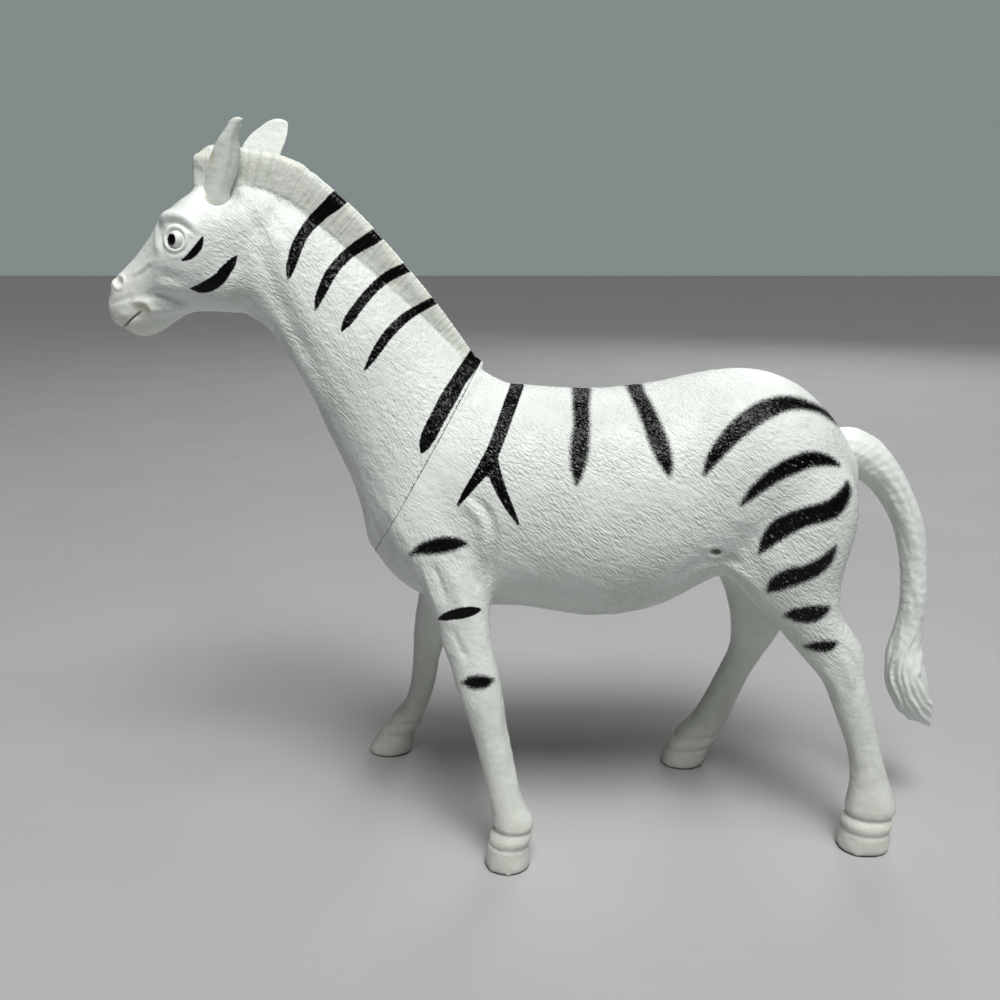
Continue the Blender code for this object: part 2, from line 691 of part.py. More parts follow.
def build():
    clear_scene()
    parts = new_collection("toy_zebra")
    cutters = new_collection("cutters")

    body = animal_form(parts)
    body.name = "body_shell"
    head = bpy.data.objects.new("head_neck_shell", body.data.copy())
    parts.objects.link(head)
    tail = tail_mesh("tail", parts)
    ears = [ear_mesh(ear, parts, ear) for ear in EARS]

    size = WORK_SPACE
    floor = block("below_floor", cutters, (BODY_LENGTH / 2, 0, -size / 2), (size, size, size))
    behind_seam = half_space("behind_seam", cutters, -1, 0)
    before_seam = half_space("before_seam", cutters, 1, CLEARANCE)
    socket = seam_oval("neck_socket", cutters, -CLEARANCE, COLLAR_DEPTH + CLEARANCE, OVERRUN)
    collar = seam_oval("neck_collar", cutters, 0, COLLAR_DEPTH, COLLAR_SEAT / 2)
    bore = seam_oval("collar_bore", cutters, COLLAR_WALL, COLLAR_DEPTH + OVERRUN, COLLAR_SEAT + WALL)
    body_cavity = cavity_form("body_cavity", cutters, False)
    head_cavity = cavity_form("head_cavity", cutters, True)
    vent_centre = (BODY_LENGTH * VENT_SHARES[0], -BODY_WIDTH / 2, BACK_HEIGHT * VENT_SHARES[1])
    vent = ball("vent_hole", cutters, vent_centre, (VENT_LENGTH / 2, VENT_DEPTH / 2, VENT_HEIGHT / 2))
    tail_hole = tail_mesh("tail_hole", cutters, CLEARANCE, TAIL_HOLE_ROWS)
    mane = loft("mane_and_forelock", cutters, mane_rows(), 0, 0, square=MANE_SQUARE_SHARE,
                steps=MANE_RINGS_BETWEEN, count=MANE_RING_POINTS)
    ear_holes = [ear_mesh(ear + "_hole", cutters, ear, CLEARANCE, EAR_HOLE_ROWS) for ear in EARS]
    for item in cutters.objects:
        item.data.shade_flat()
        item.hide_render = True
        item.display_type = "WIRE"
    shade_round(mane)
    pieces = [body, head, tail, *ears]
    stand_at_origin(pieces + list(cutters.objects), body, tail)

    cut(head, mane, "UNION")
    settle(head)
    cut(body, behind_seam, "INTERSECT")
    for cutter in (floor, body_cavity, socket, vent, tail_hole):
        cut(body, cutter)
    cut(head, before_seam, "INTERSECT")
    cut(head, collar, "UNION")
    for cutter in (head_cavity, bore, *ear_holes):
        cut(head, cutter)
    for piece in pieces:
        finish_piece(piece)


build()
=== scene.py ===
"""Looks of the hollow moulded toy zebra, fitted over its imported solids."""

import math

import bmesh
import bpy
import numpy as np
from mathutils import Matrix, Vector, noise
from mathutils.bvhtree import BVHTree


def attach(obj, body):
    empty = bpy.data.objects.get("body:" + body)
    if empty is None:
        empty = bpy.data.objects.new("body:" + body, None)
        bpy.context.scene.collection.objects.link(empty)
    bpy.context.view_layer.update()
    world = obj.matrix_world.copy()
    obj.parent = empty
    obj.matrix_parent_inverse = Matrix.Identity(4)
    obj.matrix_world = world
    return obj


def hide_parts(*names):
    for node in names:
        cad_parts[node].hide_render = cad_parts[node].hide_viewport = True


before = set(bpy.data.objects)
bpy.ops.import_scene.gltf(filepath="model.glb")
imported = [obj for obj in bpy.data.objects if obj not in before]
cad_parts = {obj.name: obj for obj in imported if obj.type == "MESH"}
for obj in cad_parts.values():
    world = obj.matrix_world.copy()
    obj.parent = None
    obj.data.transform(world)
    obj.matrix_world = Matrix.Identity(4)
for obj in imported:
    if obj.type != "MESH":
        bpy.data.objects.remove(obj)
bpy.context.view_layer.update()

# Measures, in metres unless a name says otherwise
MM = 0.001
WELD = 0.01 * MM
BODY_GRAIN = 0.74 * MM
HEAD_GRAIN = 0.70 * MM
TAIL_GRAIN = 0.36 * MM
SEAM_POINT = Vector((-29.9, 0.0, 97.2)) * MM
SEAM_LEAN = math.radians(29.7)
SEAM_FORWARD = Vector((-math.cos(SEAM_LEAN), 0.0, math.sin(SEAM_LEAN)))
SEAM_OVERLAP = 1.5 * MM
SEAM_GAP = 0.13 * MM
CREASE = math.radians(38)
# Shares of the way to the neighbours' mean, for each round of relaxing and of averaging
RELAX_IN = 0.6
RELAX_OUT = 0.61
AVERAGE = 0.5

# The photograph's camera: where it stands, how far it looks down, and its scale in picture points
EYE_POINT = Vector((-11.2, -250.0, 148.4)) * MM
EYE_DOWN = math.radians(14)
PICTURE = 1000.0
POINT_SIZE = 0.235

# Stripes of the near side: picture places along each middle line and the full width, in picture points
NECK_STRIPES = {
    "s1": [(345, 192.5, 17), (334, 202.5, 16.5), (324, 211, 13.7), (315, 219.5, 12.7), (308, 227.5, 11.4),
     (301.7, 237, 10.6), (296.7, 247.5, 11), (293, 259, 10), (290.2, 269, 8), (288.2, 279.5, 1.5)],
    "s2": [(383, 231, 13.5), (373, 237.5, 13.5), (360.5, 245, 12), (348, 254, 10.6), (338, 264, 10.3),
     (330, 275, 10.6), (324, 287, 9.5), (319, 298, 7.5), (315.6, 309.5, 1.5)],
    "s3": [(416, 263.5, 10), (406.7, 267.5, 10), (391.7, 274.5, 10.3), (379.2, 283.3, 9.7),
     (367.5, 295, 9.5), (357.5, 307.5, 9.6), (348, 320.8, 8.8), (341.5, 331, 1.5)],
    "s4": [(442, 297, 7), (433.3, 301.2, 7.6), (419.2, 308.7, 8), (405, 317.8, 9), (392.5, 329.5, 9.6),
     (383.3, 340.8, 9), (374.2, 355, 7.5), (364.5, 370.5, 1.2)],
    "s5": [(481.5, 345, 15), (475, 357, 14.7), (467, 369, 15), (458, 382, 14.4), (450, 395.5, 16),
     (442.5, 409, 15.6), (435, 423, 15), (428, 437, 14.2), (424, 447, 9), (421.5, 452.5, 2)],
    "f1": [(202.8, 236.8, 1), (200, 243.6, 5.8), (196.7, 249.3, 7.3), (191.4, 255, 6.6), (186, 258.6, 4),
     (181.5, 260.2, 0.8)],
    "f2": [(236.8, 255.5, 1), (232, 262.6, 7.8), (225.7, 270.7, 10.8), (218.6, 279.3, 12), (210, 285, 12.3),
     (202.1, 287.9, 9.5), (195.7, 288.5, 5.2), (190.8, 288.4, 1)],
}
BODY_STRIPES = {
    "s5": NECK_STRIPES["s5"],
    "s6": [(522, 370, 12.3), (515.5, 390, 12.8), (508, 411, 13), (500.5, 432, 12.8), (494, 449, 13),
     (488.5, 461, 14), (481, 473, 11.5), (471.5, 485.5, 8.6), (464, 496, 5.5), (457, 507, 1)],
    "s6b": [(491, 455, 12), (494.5, 473, 12.5), (500.5, 489, 10.5), (507.5, 504, 8.2), (514, 516, 5),
     (520, 526.5, 1)],
    "s7": [(582, 370, 17), (581.7, 390, 16.4), (581.2, 406.7, 14.2), (581.8, 423.3, 13.8),
     (580.4, 440, 15.8), (579.4, 453.3, 16), (577.9, 466.7, 12.3), (577.3, 477, 6.5), (576.3, 484, 1)],
    "s8": [(629, 370, 14), (634.5, 386, 14), (638.8, 396.7, 12.6), (644.2, 406.7, 13.6), (651.7, 423.3, 15),
     (656.7, 436.7, 16.6), (661.8, 450, 15.6), (666, 461.7, 11.4), (668.6, 471, 5.5), (669.4, 476, 1)],
    "s9": [(704.6, 474.5, 1), (708.5, 466, 6.5), (713.5, 457.5, 10.6), (721.5, 447, 13.9),
     (732.8, 434, 16.5), (745, 423.2, 18.2), (757.9, 414, 18.3), (770.6, 407.7, 17), (784, 403.8, 13.7),
     (797, 403.4, 10.2), (808.5, 405.8, 6.9), (820, 410, 4.5), (829, 415.6, 3.2), (838, 423.5, 1)],
    "s10": [(741.6, 505, 1), (751.5, 494, 8), (761.2, 485.6, 10.1), (773.7, 476, 12.5), (786, 468.8, 14.5),
     (798.7, 463.2, 14.9), (810, 459.5, 14), (821, 459.4, 11), (830, 461.3, 7.6), (838, 464.8, 1.5)],
    "s11": [(759.8, 552.5, 1.5), (767.5, 541.5, 12.2), (777.5, 530.8, 18), (788.8, 523.8, 18.3),
     (800, 518.8, 17.2), (811.3, 515, 16.9), (822.5, 512.6, 17.6), (833.5, 508, 17),
     (841.3, 499.5, 13.8), (845.8, 491, 9.5), (847.2, 482.5, 1.5)],
    "s12": [(768, 591.4, 1.5), (774.4, 585.7, 12), (783.3, 580.5, 15.5), (793.3, 576.7, 16.5),
     (803.3, 573.9, 14.6), (812.2, 570.5, 13.3), (820, 566, 12), (827.2, 559.4, 9.3),
     (832.2, 552.2, 5.5), (835.6, 547, 0.8)],
    "s13": [(785, 615.4, 0.8), (792.2, 614.8, 9), (801, 615, 13.4), (810, 614.4, 15), (818.9, 612.2, 12),
     (825.5, 609.5, 7), (828.8, 607.8, 1.5)],
    "s14": [(805.4, 646.5, 0.8), (812.8, 646.4, 5.8), (822.2, 646.6, 8.9), (830, 645.6, 8),
     (835.4, 643.2, 2)],
    "l1": [(411, 554.4, 1), (420, 549.8, 7.6), (430, 547.3, 12), (440, 545.5, 14), (450, 544.2, 12.5),
     (458.8, 543.4, 8.5), (465.3, 543.8, 1.5)],
    "l2": [(438, 619, 1), (445, 617, 7), (453.8, 614.6, 9.3), (462.5, 613, 10.6), (471.3, 611.3, 8.8),
     (477.5, 610.3, 5), (482, 610, 0.8)],
    "l3": [(463.6, 682.9, 1.5), (468.8, 682.2, 8.6), (475, 682.4, 11.3), (482.5, 682, 11),
     (488, 681.2, 7.6), (492.4, 680.5, 1.5)],
}

# Edges of the paint, in mm: sharp ones, and the stripes that were sprayed softly
CRISP = 0.2
HAZE = 0.75
HAZY = "s7 s8 s9 s10 s11 s12 s13 s14 l1 l3".split()
# Distance in mm that stands for no paint, and how far round a stripe it is worked out, in points
NO_PAINT = 6.0
STRIPE_REACH = 40
MANE_HALF = 4.5 * MM
# How far the far legs stand ahead of the near ones at the floor, the height where they part, and
# an x between the forelegs and the hind legs
FORE_STEP = 35.4 * MM
HIND_STEP = 38.8 * MM
LEG_HIP = 88 * MM
LEG_SPLIT = 20 * MM

# Features of the face and flank: middle and half size in picture points
EYE_MIDDLE = (175.1, 238.8)
EYE_HALF = (8.2, 9.1)
PUPIL_MIDDLE = (171.5, 239.4)
PUPIL_HALF = (3.6, 5.5)
NOSTRIL_MIDDLE = (118.8, 281.8)
NOSTRIL_HALF = (2.9, 3.6)
NOSTRIL_PIT_MIDDLE = (118.8, 282.4)
NOSTRIL_PIT_HALF = (2.0, 2.8)
MOUTH_LINE = [(141.5, 311), (137.5, 314.5), (133, 318), (128, 322.6), (121, 329)]
VENT_MIDDLE = (716.2, 552.0)
VENT_HALF = (5.2, 2.7)

# Lean of the moulded hairs in degrees below level: on nose and thigh, on the trunk, on the chest
LEVEL_LEAN = 25
MIDDLE_LEAN = 42
STEEP_LEAN = 64


# Meshes
def linked(name, mesh):
    obj = bpy.data.objects.new(name, mesh)
    bpy.context.scene.collection.objects.link(obj)
    return obj


def mesh_of(bm, name="work"):
    mesh = bpy.data.meshes.new(name)
    bm.to_mesh(mesh)
    bm.free()
    return mesh


def welded(node):
    """A node's mesh with its doubled places joined."""
    bm = bmesh.new()
    bm.from_mesh(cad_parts[node].data)
    bmesh.ops.remove_doubles(bm, verts=bm.verts, dist=WELD)
    return bm


def fill_holes(bm):
    bmesh.ops.holes_fill(bm, edges=[e for e in bm.edges if e.is_boundary], sides=0)


def outer_skin(node, seeds, shift=None):
    """A node's outer surface, reached from the seeds without crossing a crease, with its holes filled.
    The rim at the seam is first moved by shift, so that two skins overlap."""
    bm = welded(node)
    bm.normal_update()
    tree = BVHTree.FromBMesh(bm)
    bm.faces.ensure_lookup_table()
    todo = [bm.faces[tree.find_nearest(Vector(seed) * MM)[2]] for seed in seeds]
    kept = set(todo)
    flat = math.cos(CREASE)
    while todo:
        face = todo.pop()
        for edge in face.edges:
            for other in edge.link_faces:
                if other not in kept and face.normal.dot(other.normal) > flat:
                    kept.add(other)
                    todo.append(other)
    inner = [face for face in bm.faces if face not in kept]
    bmesh.ops.delete(bm, geom=inner, context="FACES")
    if shift:
        for vert in {v for e in bm.edges if e.is_boundary for v in e.verts}:
            if abs((vert.co - SEAM_POINT).dot(SEAM_FORWARD)) < MM:
                vert.co += shift
    fill_holes(bm)
    bmesh.ops.recalc_face_normals(bm, faces=bm.faces)
    return mesh_of(bm)


def joined(*meshes):
    bm = bmesh.new()
    for mesh in meshes:
        bm.from_mesh(mesh)
    return mesh_of(bm)


def regrained(mesh, grain):
    """One even skin over everything in the mesh, in small squares of the given size."""
    obj = linked("work", mesh)
    modifier = obj.modifiers.new("grain", "REMESH")
    modifier.mode = "VOXEL"
    modifier.voxel_size = grain
    graph = bpy.context.evaluated_depsgraph_get()
    result = bpy.data.meshes.new_from_object(obj.evaluated_get(graph))
    bpy.data.objects.remove(obj)
    return result


def table(rows, key, width, kind=float):
    """A mesh's places, normals or edges as rows of numbers."""
    out = np.empty(len(rows) * width, kind)
    rows.foreach_get(key, out)
    return out.reshape(-1, width)


def places(mesh):
    return table(mesh.vertices, "co", 3)


def normals(mesh):
    return table(mesh.vertex_normals, "vector", 3)


def place(mesh, co):
    mesh.vertices.foreach_set("co", co.ravel())
    mesh.update()


def neighbour_pull(mesh):
    """A function that moves places a share of the way to the mean of their neighbours."""
    a, b = table(mesh.edges, "vertices", 2, np.int64).T
    size = len(mesh.vertices)
    count = (np.bincount(a, minlength=size) + np.bincount(b, minlength=size))[:, None]

    def pull(co, share):
        total = np.stack([np.bincount(a, co[b, i], size) + np.bincount(b, co[a, i], size)
                          for i in range(3)], axis=1)
        return co + share * (total / count - co)
    return pull


def relax(mesh, rounds):
    """Evens out facets and keeps the volume: each round averages, then pushes back."""
    pull = neighbour_pull(mesh)
    co = places(mesh)
    for _ in range(rounds):
        co = pull(pull(co, RELAX_IN), -RELAX_OUT)
    place(mesh, co)


def average(mesh, rounds, hold):
    """Plain averaging, which fills hollows and rounds edges; hold (0 to 1) keeps places still."""
    pull = neighbour_pull(mesh)
    co = places(mesh)
    for _ in range(rounds):
        co = pull(co, AVERAGE * (1 - hold)[:, None])
    place(mesh, co)


def cut_at(mesh, point, normal, name):
    """Keeps what lies in front of the plane and closes the cut."""
    bm = bmesh.new()
    bm.from_mesh(mesh)
    bmesh.ops.bisect_plane(bm, geom=bm.verts[:] + bm.edges[:] + bm.faces[:], dist=WELD,
                           plane_co=point, plane_no=normal, clear_inner=True)
    fill_holes(bm)
    return mesh_of(bm, name)


# Lines and fields
def curve_through(points, steps=6):
    """A smooth line of places through the given ones."""
    p = np.array(points, float)
    p = np.vstack([2 * p[0] - p[1], p, 2 * p[-1] - p[-2]])
    out = []
    for i in range(1, len(p) - 2):
        for t in np.arange(steps) / steps:
            a = 2 * p[i]
            b = p[i + 1] - p[i - 1]
            c = 2 * p[i - 1] - 5 * p[i] + 4 * p[i + 1] - p[i + 2]
            d = -p[i - 1] + 3 * p[i] - 3 * p[i + 1] + p[i + 2]
            out.append((a + b * t + c * t ** 2 + d * t ** 3) / 2)
    out.append(p[-2])
    return np.array(out)


def nearest_on(line, co, values=None):
    """Distance of each place from a line of places, the share along it, and a value carried by it."""
    best = np.full(len(co), 999.0)
    share = np.zeros(len(co))
    value = np.zeros(len(co))
    for i in range(len(line) - 1):
        a = line[i]
        d = line[i + 1] - a
        t = np.clip(((co - a) @ d) / max(d @ d, 1e-12), 0, 1)
        gap = np.linalg.norm(co - (a + t[:, None] * d), axis=1)
        hit = gap < best
        best[hit] = gap[hit]
        share[hit] = (i + t[hit]) / (len(line) - 1)
        if values is not None:
            value[hit] = values[i] + t[hit] * (values[i + 1] - values[i])
    return best, share, value


def ease(low, high, x):
    t = np.clip((x - low) / (high - low), 0, 1)
    return t * t * (3 - 2 * t)


def bell(x, middle, width):
    """1 at the middle, falling off over the width to both sides."""
    return np.exp(-((x - middle) / width) ** 2)


def put_values(mesh, **fields):
    """Stores fields that the material reads: one value for each vertex, or one for the whole mesh."""
    for name, values in fields.items():
        layer = mesh.attributes.new(name, "FLOAT", "POINT")
        layer.data.foreach_set("value", np.full(len(mesh.vertices), values, np.float32))


def seen_places(co):
    """Where the photograph's camera sees each place, across and down in picture points."""
    away = co - np.array(EYE_POINT)
    depth = away[:, 1] * math.cos(EYE_DOWN) - away[:, 2] * math.sin(EYE_DOWN)
    up = away[:, 1] * math.sin(EYE_DOWN) + away[:, 2] * math.cos(EYE_DOWN)
    return np.stack([PICTURE / 2 + PICTURE * away[:, 0] / depth,
                     PICTURE / 2 - PICTURE * up / depth], axis=1)


def picture_places(co, side=None):
    """The same with the far side folded over to the near one; side is the distance from the middle."""
    side = np.abs(co[:, 1]) if side is None else side
    return seen_places(np.stack([co[:, 0], -side, co[:, 2]], axis=1))


def world_places(across, down, y):
    """The places at a given y that the photograph's camera sees at the given picture places."""
    slope = (PICTURE / 2 - down) / PICTURE
    s, c = math.sin(EYE_DOWN), math.cos(EYE_DOWN)
    away_y = y - EYE_POINT.y
    away_z = away_y * (slope * c - s) / (c + slope * s)
    depth = away_y * c - away_z * s
    return np.stack([EYE_POINT.x + (across - PICTURE / 2) / PICTURE * depth, y,
                     EYE_POINT.z + away_z], axis=-1)


def seen_on(mesh):
    """A mesh's places and their picture places."""
    co = places(mesh)
    return co, picture_places(co)


def past_seam(co):
    """How far each place lies ahead of the seam's plane."""
    return (co - np.array(SEAM_POINT)) @ np.array(SEAM_FORWARD)


def off_oval(picture, middle, half):
    """How far each place lies from an oval's middle, 1 on its edge."""
    return np.linalg.norm((picture - np.array(middle)) / np.array(half), axis=1)


def paint_places(co):
    """Picture places for the paint. On the far side of the neck they don't step at the mane, and on the
    far legs they move forward with the leg, more so toward the hoof."""
    side = np.abs(co[:, 1])
    held = MANE_HALF + (side - MANE_HALF) * ease(16 * MM, 4 * MM, past_seam(co))
    far = (co[:, 1] > 0) & (side > MANE_HALF)
    down = np.clip(1 - co[:, 2] / LEG_HIP, 0, 1)
    fore = co[:, 0] < LEG_SPLIT
    step = np.where(fore, FORE_STEP * down ** 1.5, HIND_STEP * down ** 2.5) * (co[:, 1] > 0)
    return picture_places(co + np.outer(step, (1, 0, 0)), np.where(far, held, side))


def stripe_field(co, stripes):
    """Signed distance in mm from the nearest stripe's edge, negative inside, and that edge's softness."""
    flat = paint_places(co)
    field = np.full(len(co), NO_PAINT)
    soft = np.full(len(co), CRISP)
    for name, points in stripes.items():
        line = curve_through(points)
        low = line[:, :2].min(0) - STRIPE_REACH
        high = line[:, :2].max(0) + STRIPE_REACH
        near = np.flatnonzero(np.all((flat > low) & (flat < high), axis=1))
        gap, _, width = nearest_on(line[:, :2], flat[near], line[:, 2])
        off = (gap - width / 2) * POINT_SIZE
        nearer = off < field[near]
        field[near[nearer]] = off[nearer]
        soft[near[nearer]] = HAZE if name in HAZY else CRISP
    return field, soft


# Base surfaces, made from the solids themselves. The seeds are in mm
BODY_SEEDS = [(20, -35, 90), (30, 0, 118), (20, 35, 90)]
HEAD_SEEDS = [(-50, -20, 130), (-90, -12, 148), (-45, -4, 152), (-45, 4, 152), (-50, 0, 160)]
solid = joined(outer_skin("body_shell", BODY_SEEDS),
               outer_skin("head_neck_shell", HEAD_SEEDS, -SEAM_OVERLAP * SEAM_FORWARD))
body_whole = regrained(solid, BODY_GRAIN)
relax(body_whole, 22)
head_whole = regrained(solid, HEAD_GRAIN)
relax(head_whole, 30)
body_mesh = cut_at(body_whole, SEAM_POINT - SEAM_GAP * SEAM_FORWARD, -SEAM_FORWARD, "body_skin")
head_mesh = cut_at(head_whole, SEAM_POINT + SEAM_GAP * SEAM_FORWARD, SEAM_FORWARD, "head_neck_skin")
tail_mesh = regrained(mesh_of(welded("tail")), TAIL_GRAIN)
tail_mesh.name = "tail_skin"
relax(tail_mesh, 12)


def tree_of(mesh):
    return BVHTree.FromPolygons([v.co for v in mesh.vertices], [p.vertices for p in mesh.polygons])


# Ears. Rows are the photograph's picture places: down, left edge, right edge
NEAR_EAR = [(116.8, 231.6, 243.6), (120, 229.8, 243.4), (126, 226.6, 241), (132, 222.6, 239.2),
    (140, 217, 239), (150, 212.4, 240.6), (158, 209.4, 240.6), (166, 207.2, 239), (174, 205.6, 237),
    (181, 204.6, 234.4), (188, 203.2, 231.6), (195, 202, 230), (202, 201.4, 229.4), (209, 203, 228),
    (216, 206, 225)]
FAR_EAR = [(118.6, 270, 285.4), (121.5, 267, 287.4), (126, 261.4, 288), (131, 254.6, 287.6),
    (137, 248.5, 286.4), (144, 243.5, 284.4), (151, 241, 281.5), (165, 236.5, 277.5), (177, 231, 273),
    (190, 224.5, 266), (202, 218.5, 256), (214, 214.5, 246), (224, 214, 240)]
EAR_RINGS = 130
EAR_SIDES = 96
EAR_CROWD = 1.4  # rings stand closer toward the tip
EAR_EVEN = 21  # rings over which the outer line is evened
EAR_SAMPLE = 90  # places of the solid that tell its reach at one height
EAR_STEM = 16  # picture points from the root's start down to the foot
EAR_ROOT_OUT = 2.1 * MM
EAR_TIP_IN = 3.0 * MM
EAR_TUCK = 3.4 * MM
EAR_TIP_ROUND = 4.5  # picture points
EAR_TIP_LEAST = 0.004
RAY_START = 40 * MM


def solid_reach(node, level, side):
    """How far out from the middle plane a node's solid reaches at each picture height."""
    co = places(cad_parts[node].data)
    down = seen_places(co)[:, 1]
    out = co[:, 1] * side
    return np.array([out[np.argsort(np.abs(down - at))[:EAR_SAMPLE]].max() for at in level])


def head_reach(spots, side):
    """How far out from the middle plane the head's skin lies at the x and z of each spot."""
    tree = tree_of(head_mesh)
    way = Vector((0, -side, 0))
    hits = [tree.ray_cast(Vector((x, side * RAY_START, z)), way)[0] for x, _, z in spots]
    return [hit.y * side if hit is not None else 0.0 for hit in hits]


def ear_spine(node, level, middle, side):
    """How far out the ear's outer face lies at each height: a straight line from tip to root, and a
    tuck into the head below that."""
    outer = solid_reach(node, level, side)
    skin = head_reach(world_places(middle, level, outer * side), side)
    top, foot = level[0], level[-1]
    stem = foot - EAR_STEM
    root = np.interp(stem, level, skin) + EAR_ROOT_OUT
    outer = np.interp(level, [top, stem], [outer[0] - EAR_TIP_IN, root])
    outer -= EAR_TUCK * ease(stem + 2, foot, level)
    even = np.hanning(EAR_EVEN) / np.hanning(EAR_EVEN).sum()
    return np.convolve(np.pad(outer, EAR_EVEN // 2, "edge"), even, "valid")


def leaf_ear(node, rows, side):
    """An ear as a closed leaf: the rows are its outline, the solid gives its reach outward, its inner
    face is hollow, and its root tucks into the head."""
    rows = curve_through(rows, 12)
    top, foot = rows[0, 0], rows[-1, 0]
    level = top + (foot - top) * np.linspace(0, 1, EAR_RINGS) ** EAR_CROWD
    left = np.interp(level, rows[:, 0], rows[:, 1])
    right = np.interp(level, rows[:, 0], rows[:, 2])
    middle = (left + right) / 2
    half = (right - left) / 2
    outer = ear_spine(node, level, middle, side)
    # the leaf's bow and wall, the hollow of its inner face, its growth from the tip, and its outer fold
    depth = (0.8 + 1.9 * ease(top - 6, top + 46, level)) * MM
    thick = (0.9 + 0.9 * ease(top, top + 40, level)) * MM
    hollow = 0.45 * (1 - ease(foot - 60, foot - 22, level))
    grow = np.sqrt(1 - (1 - np.clip((level - top) / EAR_TIP_ROUND, EAR_TIP_LEAST, 1)) ** 2)
    fold = -0.34 * MM * ease(top + 6, top + 36, level) * ease(foot - 14, foot - 60, level)

    angle = np.arange(EAR_SIDES) * 2 * math.pi / EAR_SIDES
    u = np.cos(angle)[None, :]
    bow = 1 - u ** 2
    outside = (np.sin(angle) > 0)[None, :]
    depth, thick, hollow, grow, outer, fold, middle, half, level = (
        v[:, None] for v in (depth, thick, hollow, grow, outer, fold, middle, half, level))
    face_out = (depth - thick / 2) * bow + thick / 2 * np.sqrt(bow) + fold * bell(u, 0.5, 0.22)
    face_in = hollow * (depth - thick / 2) * bow - thick / 2 * np.sqrt(bow)
    out = np.where(outside, face_out, face_in) - depth
    out = outer + grow * out - (1 - grow) * depth / 2
    rings = world_places(middle + half * grow * u, level + 0 * u, out * side)

    bm = bmesh.new()
    grid = [[bm.verts.new(place_at) for place_at in ring] for ring in rings]
    for upper, lower in zip(grid, grid[1:]):
        for k in range(EAR_SIDES):
            after = (k + 1) % EAR_SIDES
            bm.faces.new((upper[k], upper[after], lower[after], lower[k]))
    bm.faces.new(grid[0])
    bm.faces.new(grid[-1])
    bmesh.ops.recalc_face_normals(bm, faces=bm.faces)
    mesh = mesh_of(bm, node + "_skin")
    relax(mesh, 4)
    return mesh


ear_meshes = {"left_ear": leaf_ear("left_ear", NEAR_EAR, -1),
              "right_ear": leaf_ear("right_ear", FAR_EAR, 1)}


# Carving. Lines are picture places of the near side; reach is in picture points and height in mm
STROKE_FADE = 0.3


def refine(mesh, chosen):
    """Halves the grain of the faces whose middle is chosen."""
    bm = bmesh.new()
    bm.from_mesh(mesh)
    middles = np.array([f.calc_center_median() for f in bm.faces])
    picked = chosen(middles)
    kept = {e for f, hit in zip(bm.faces, picked) if hit for e in f.edges}
    bmesh.ops.subdivide_edges(bm, edges=list(kept), cuts=1, use_grid_fill=True)
    bm.to_mesh(mesh)
    bm.free()
    relax(mesh, 3)


def stroke(picture, line, reach, height):
    """A soft ridge, or a groove where height is below zero, that fades at both ends."""
    path = curve_through(line)
    field = np.zeros(len(picture))
    margin = 4 * reach
    near = np.all((picture > path.min(0) - margin) & (picture < path.max(0) + margin), axis=1)
    gap, share, _ = nearest_on(path, picture[near])
    fade = ease(0, STROKE_FADE, share) * ease(1, 1 - STROKE_FADE, share)
    field[near] = height * bell(gap, 0, reach) * fade
    return field


def stroked(picture, strokes):
    return sum(stroke(picture, *row) for row in strokes)


def dent(picture, middle, reach, height):
    """A soft oval knob, or a dent where height is below zero."""
    gap = (picture - np.array(middle)) / np.array(reach)
    return height * np.exp(-(gap ** 2).sum(axis=1))


def raise_by(mesh, field):
    place(mesh, places(mesh) + normals(mesh) * field[:, None] * MM)


def rumple(co, lean, along, across, seed):
    """Soft streaks that run down toward the tail: a noise stretched along the lean."""
    s, c = math.sin(math.radians(lean)), math.cos(math.radians(lean))
    x, y, z = (co / MM).T
    run = (x * c - z * s) / along
    rise = (x * s + z * c) / across
    return np.array([noise.noise(Vector((p, q, r + seed)))
                     for p, q, r in zip(run.tolist(), (y / across).tolist(), rise.tolist())])


def eye_field(picture):
    """The ball of the eye, the groove round it, the roll of the lids and the groove outside them."""
    share = off_oval(picture, EYE_MIDDLE, EYE_HALF)
    off = (share - 1) * EYE_HALF[1]
    ball = np.where(share < 1, 0.85 * (1 - share ** 2), 0)
    rolls = 0.22 * bell(off, 3, 1.8) - 0.40 * bell(off, 0, 1) - 0.12 * bell(off, 6.2, 1.6)
    return (ball + rolls) * (share < 2.2)


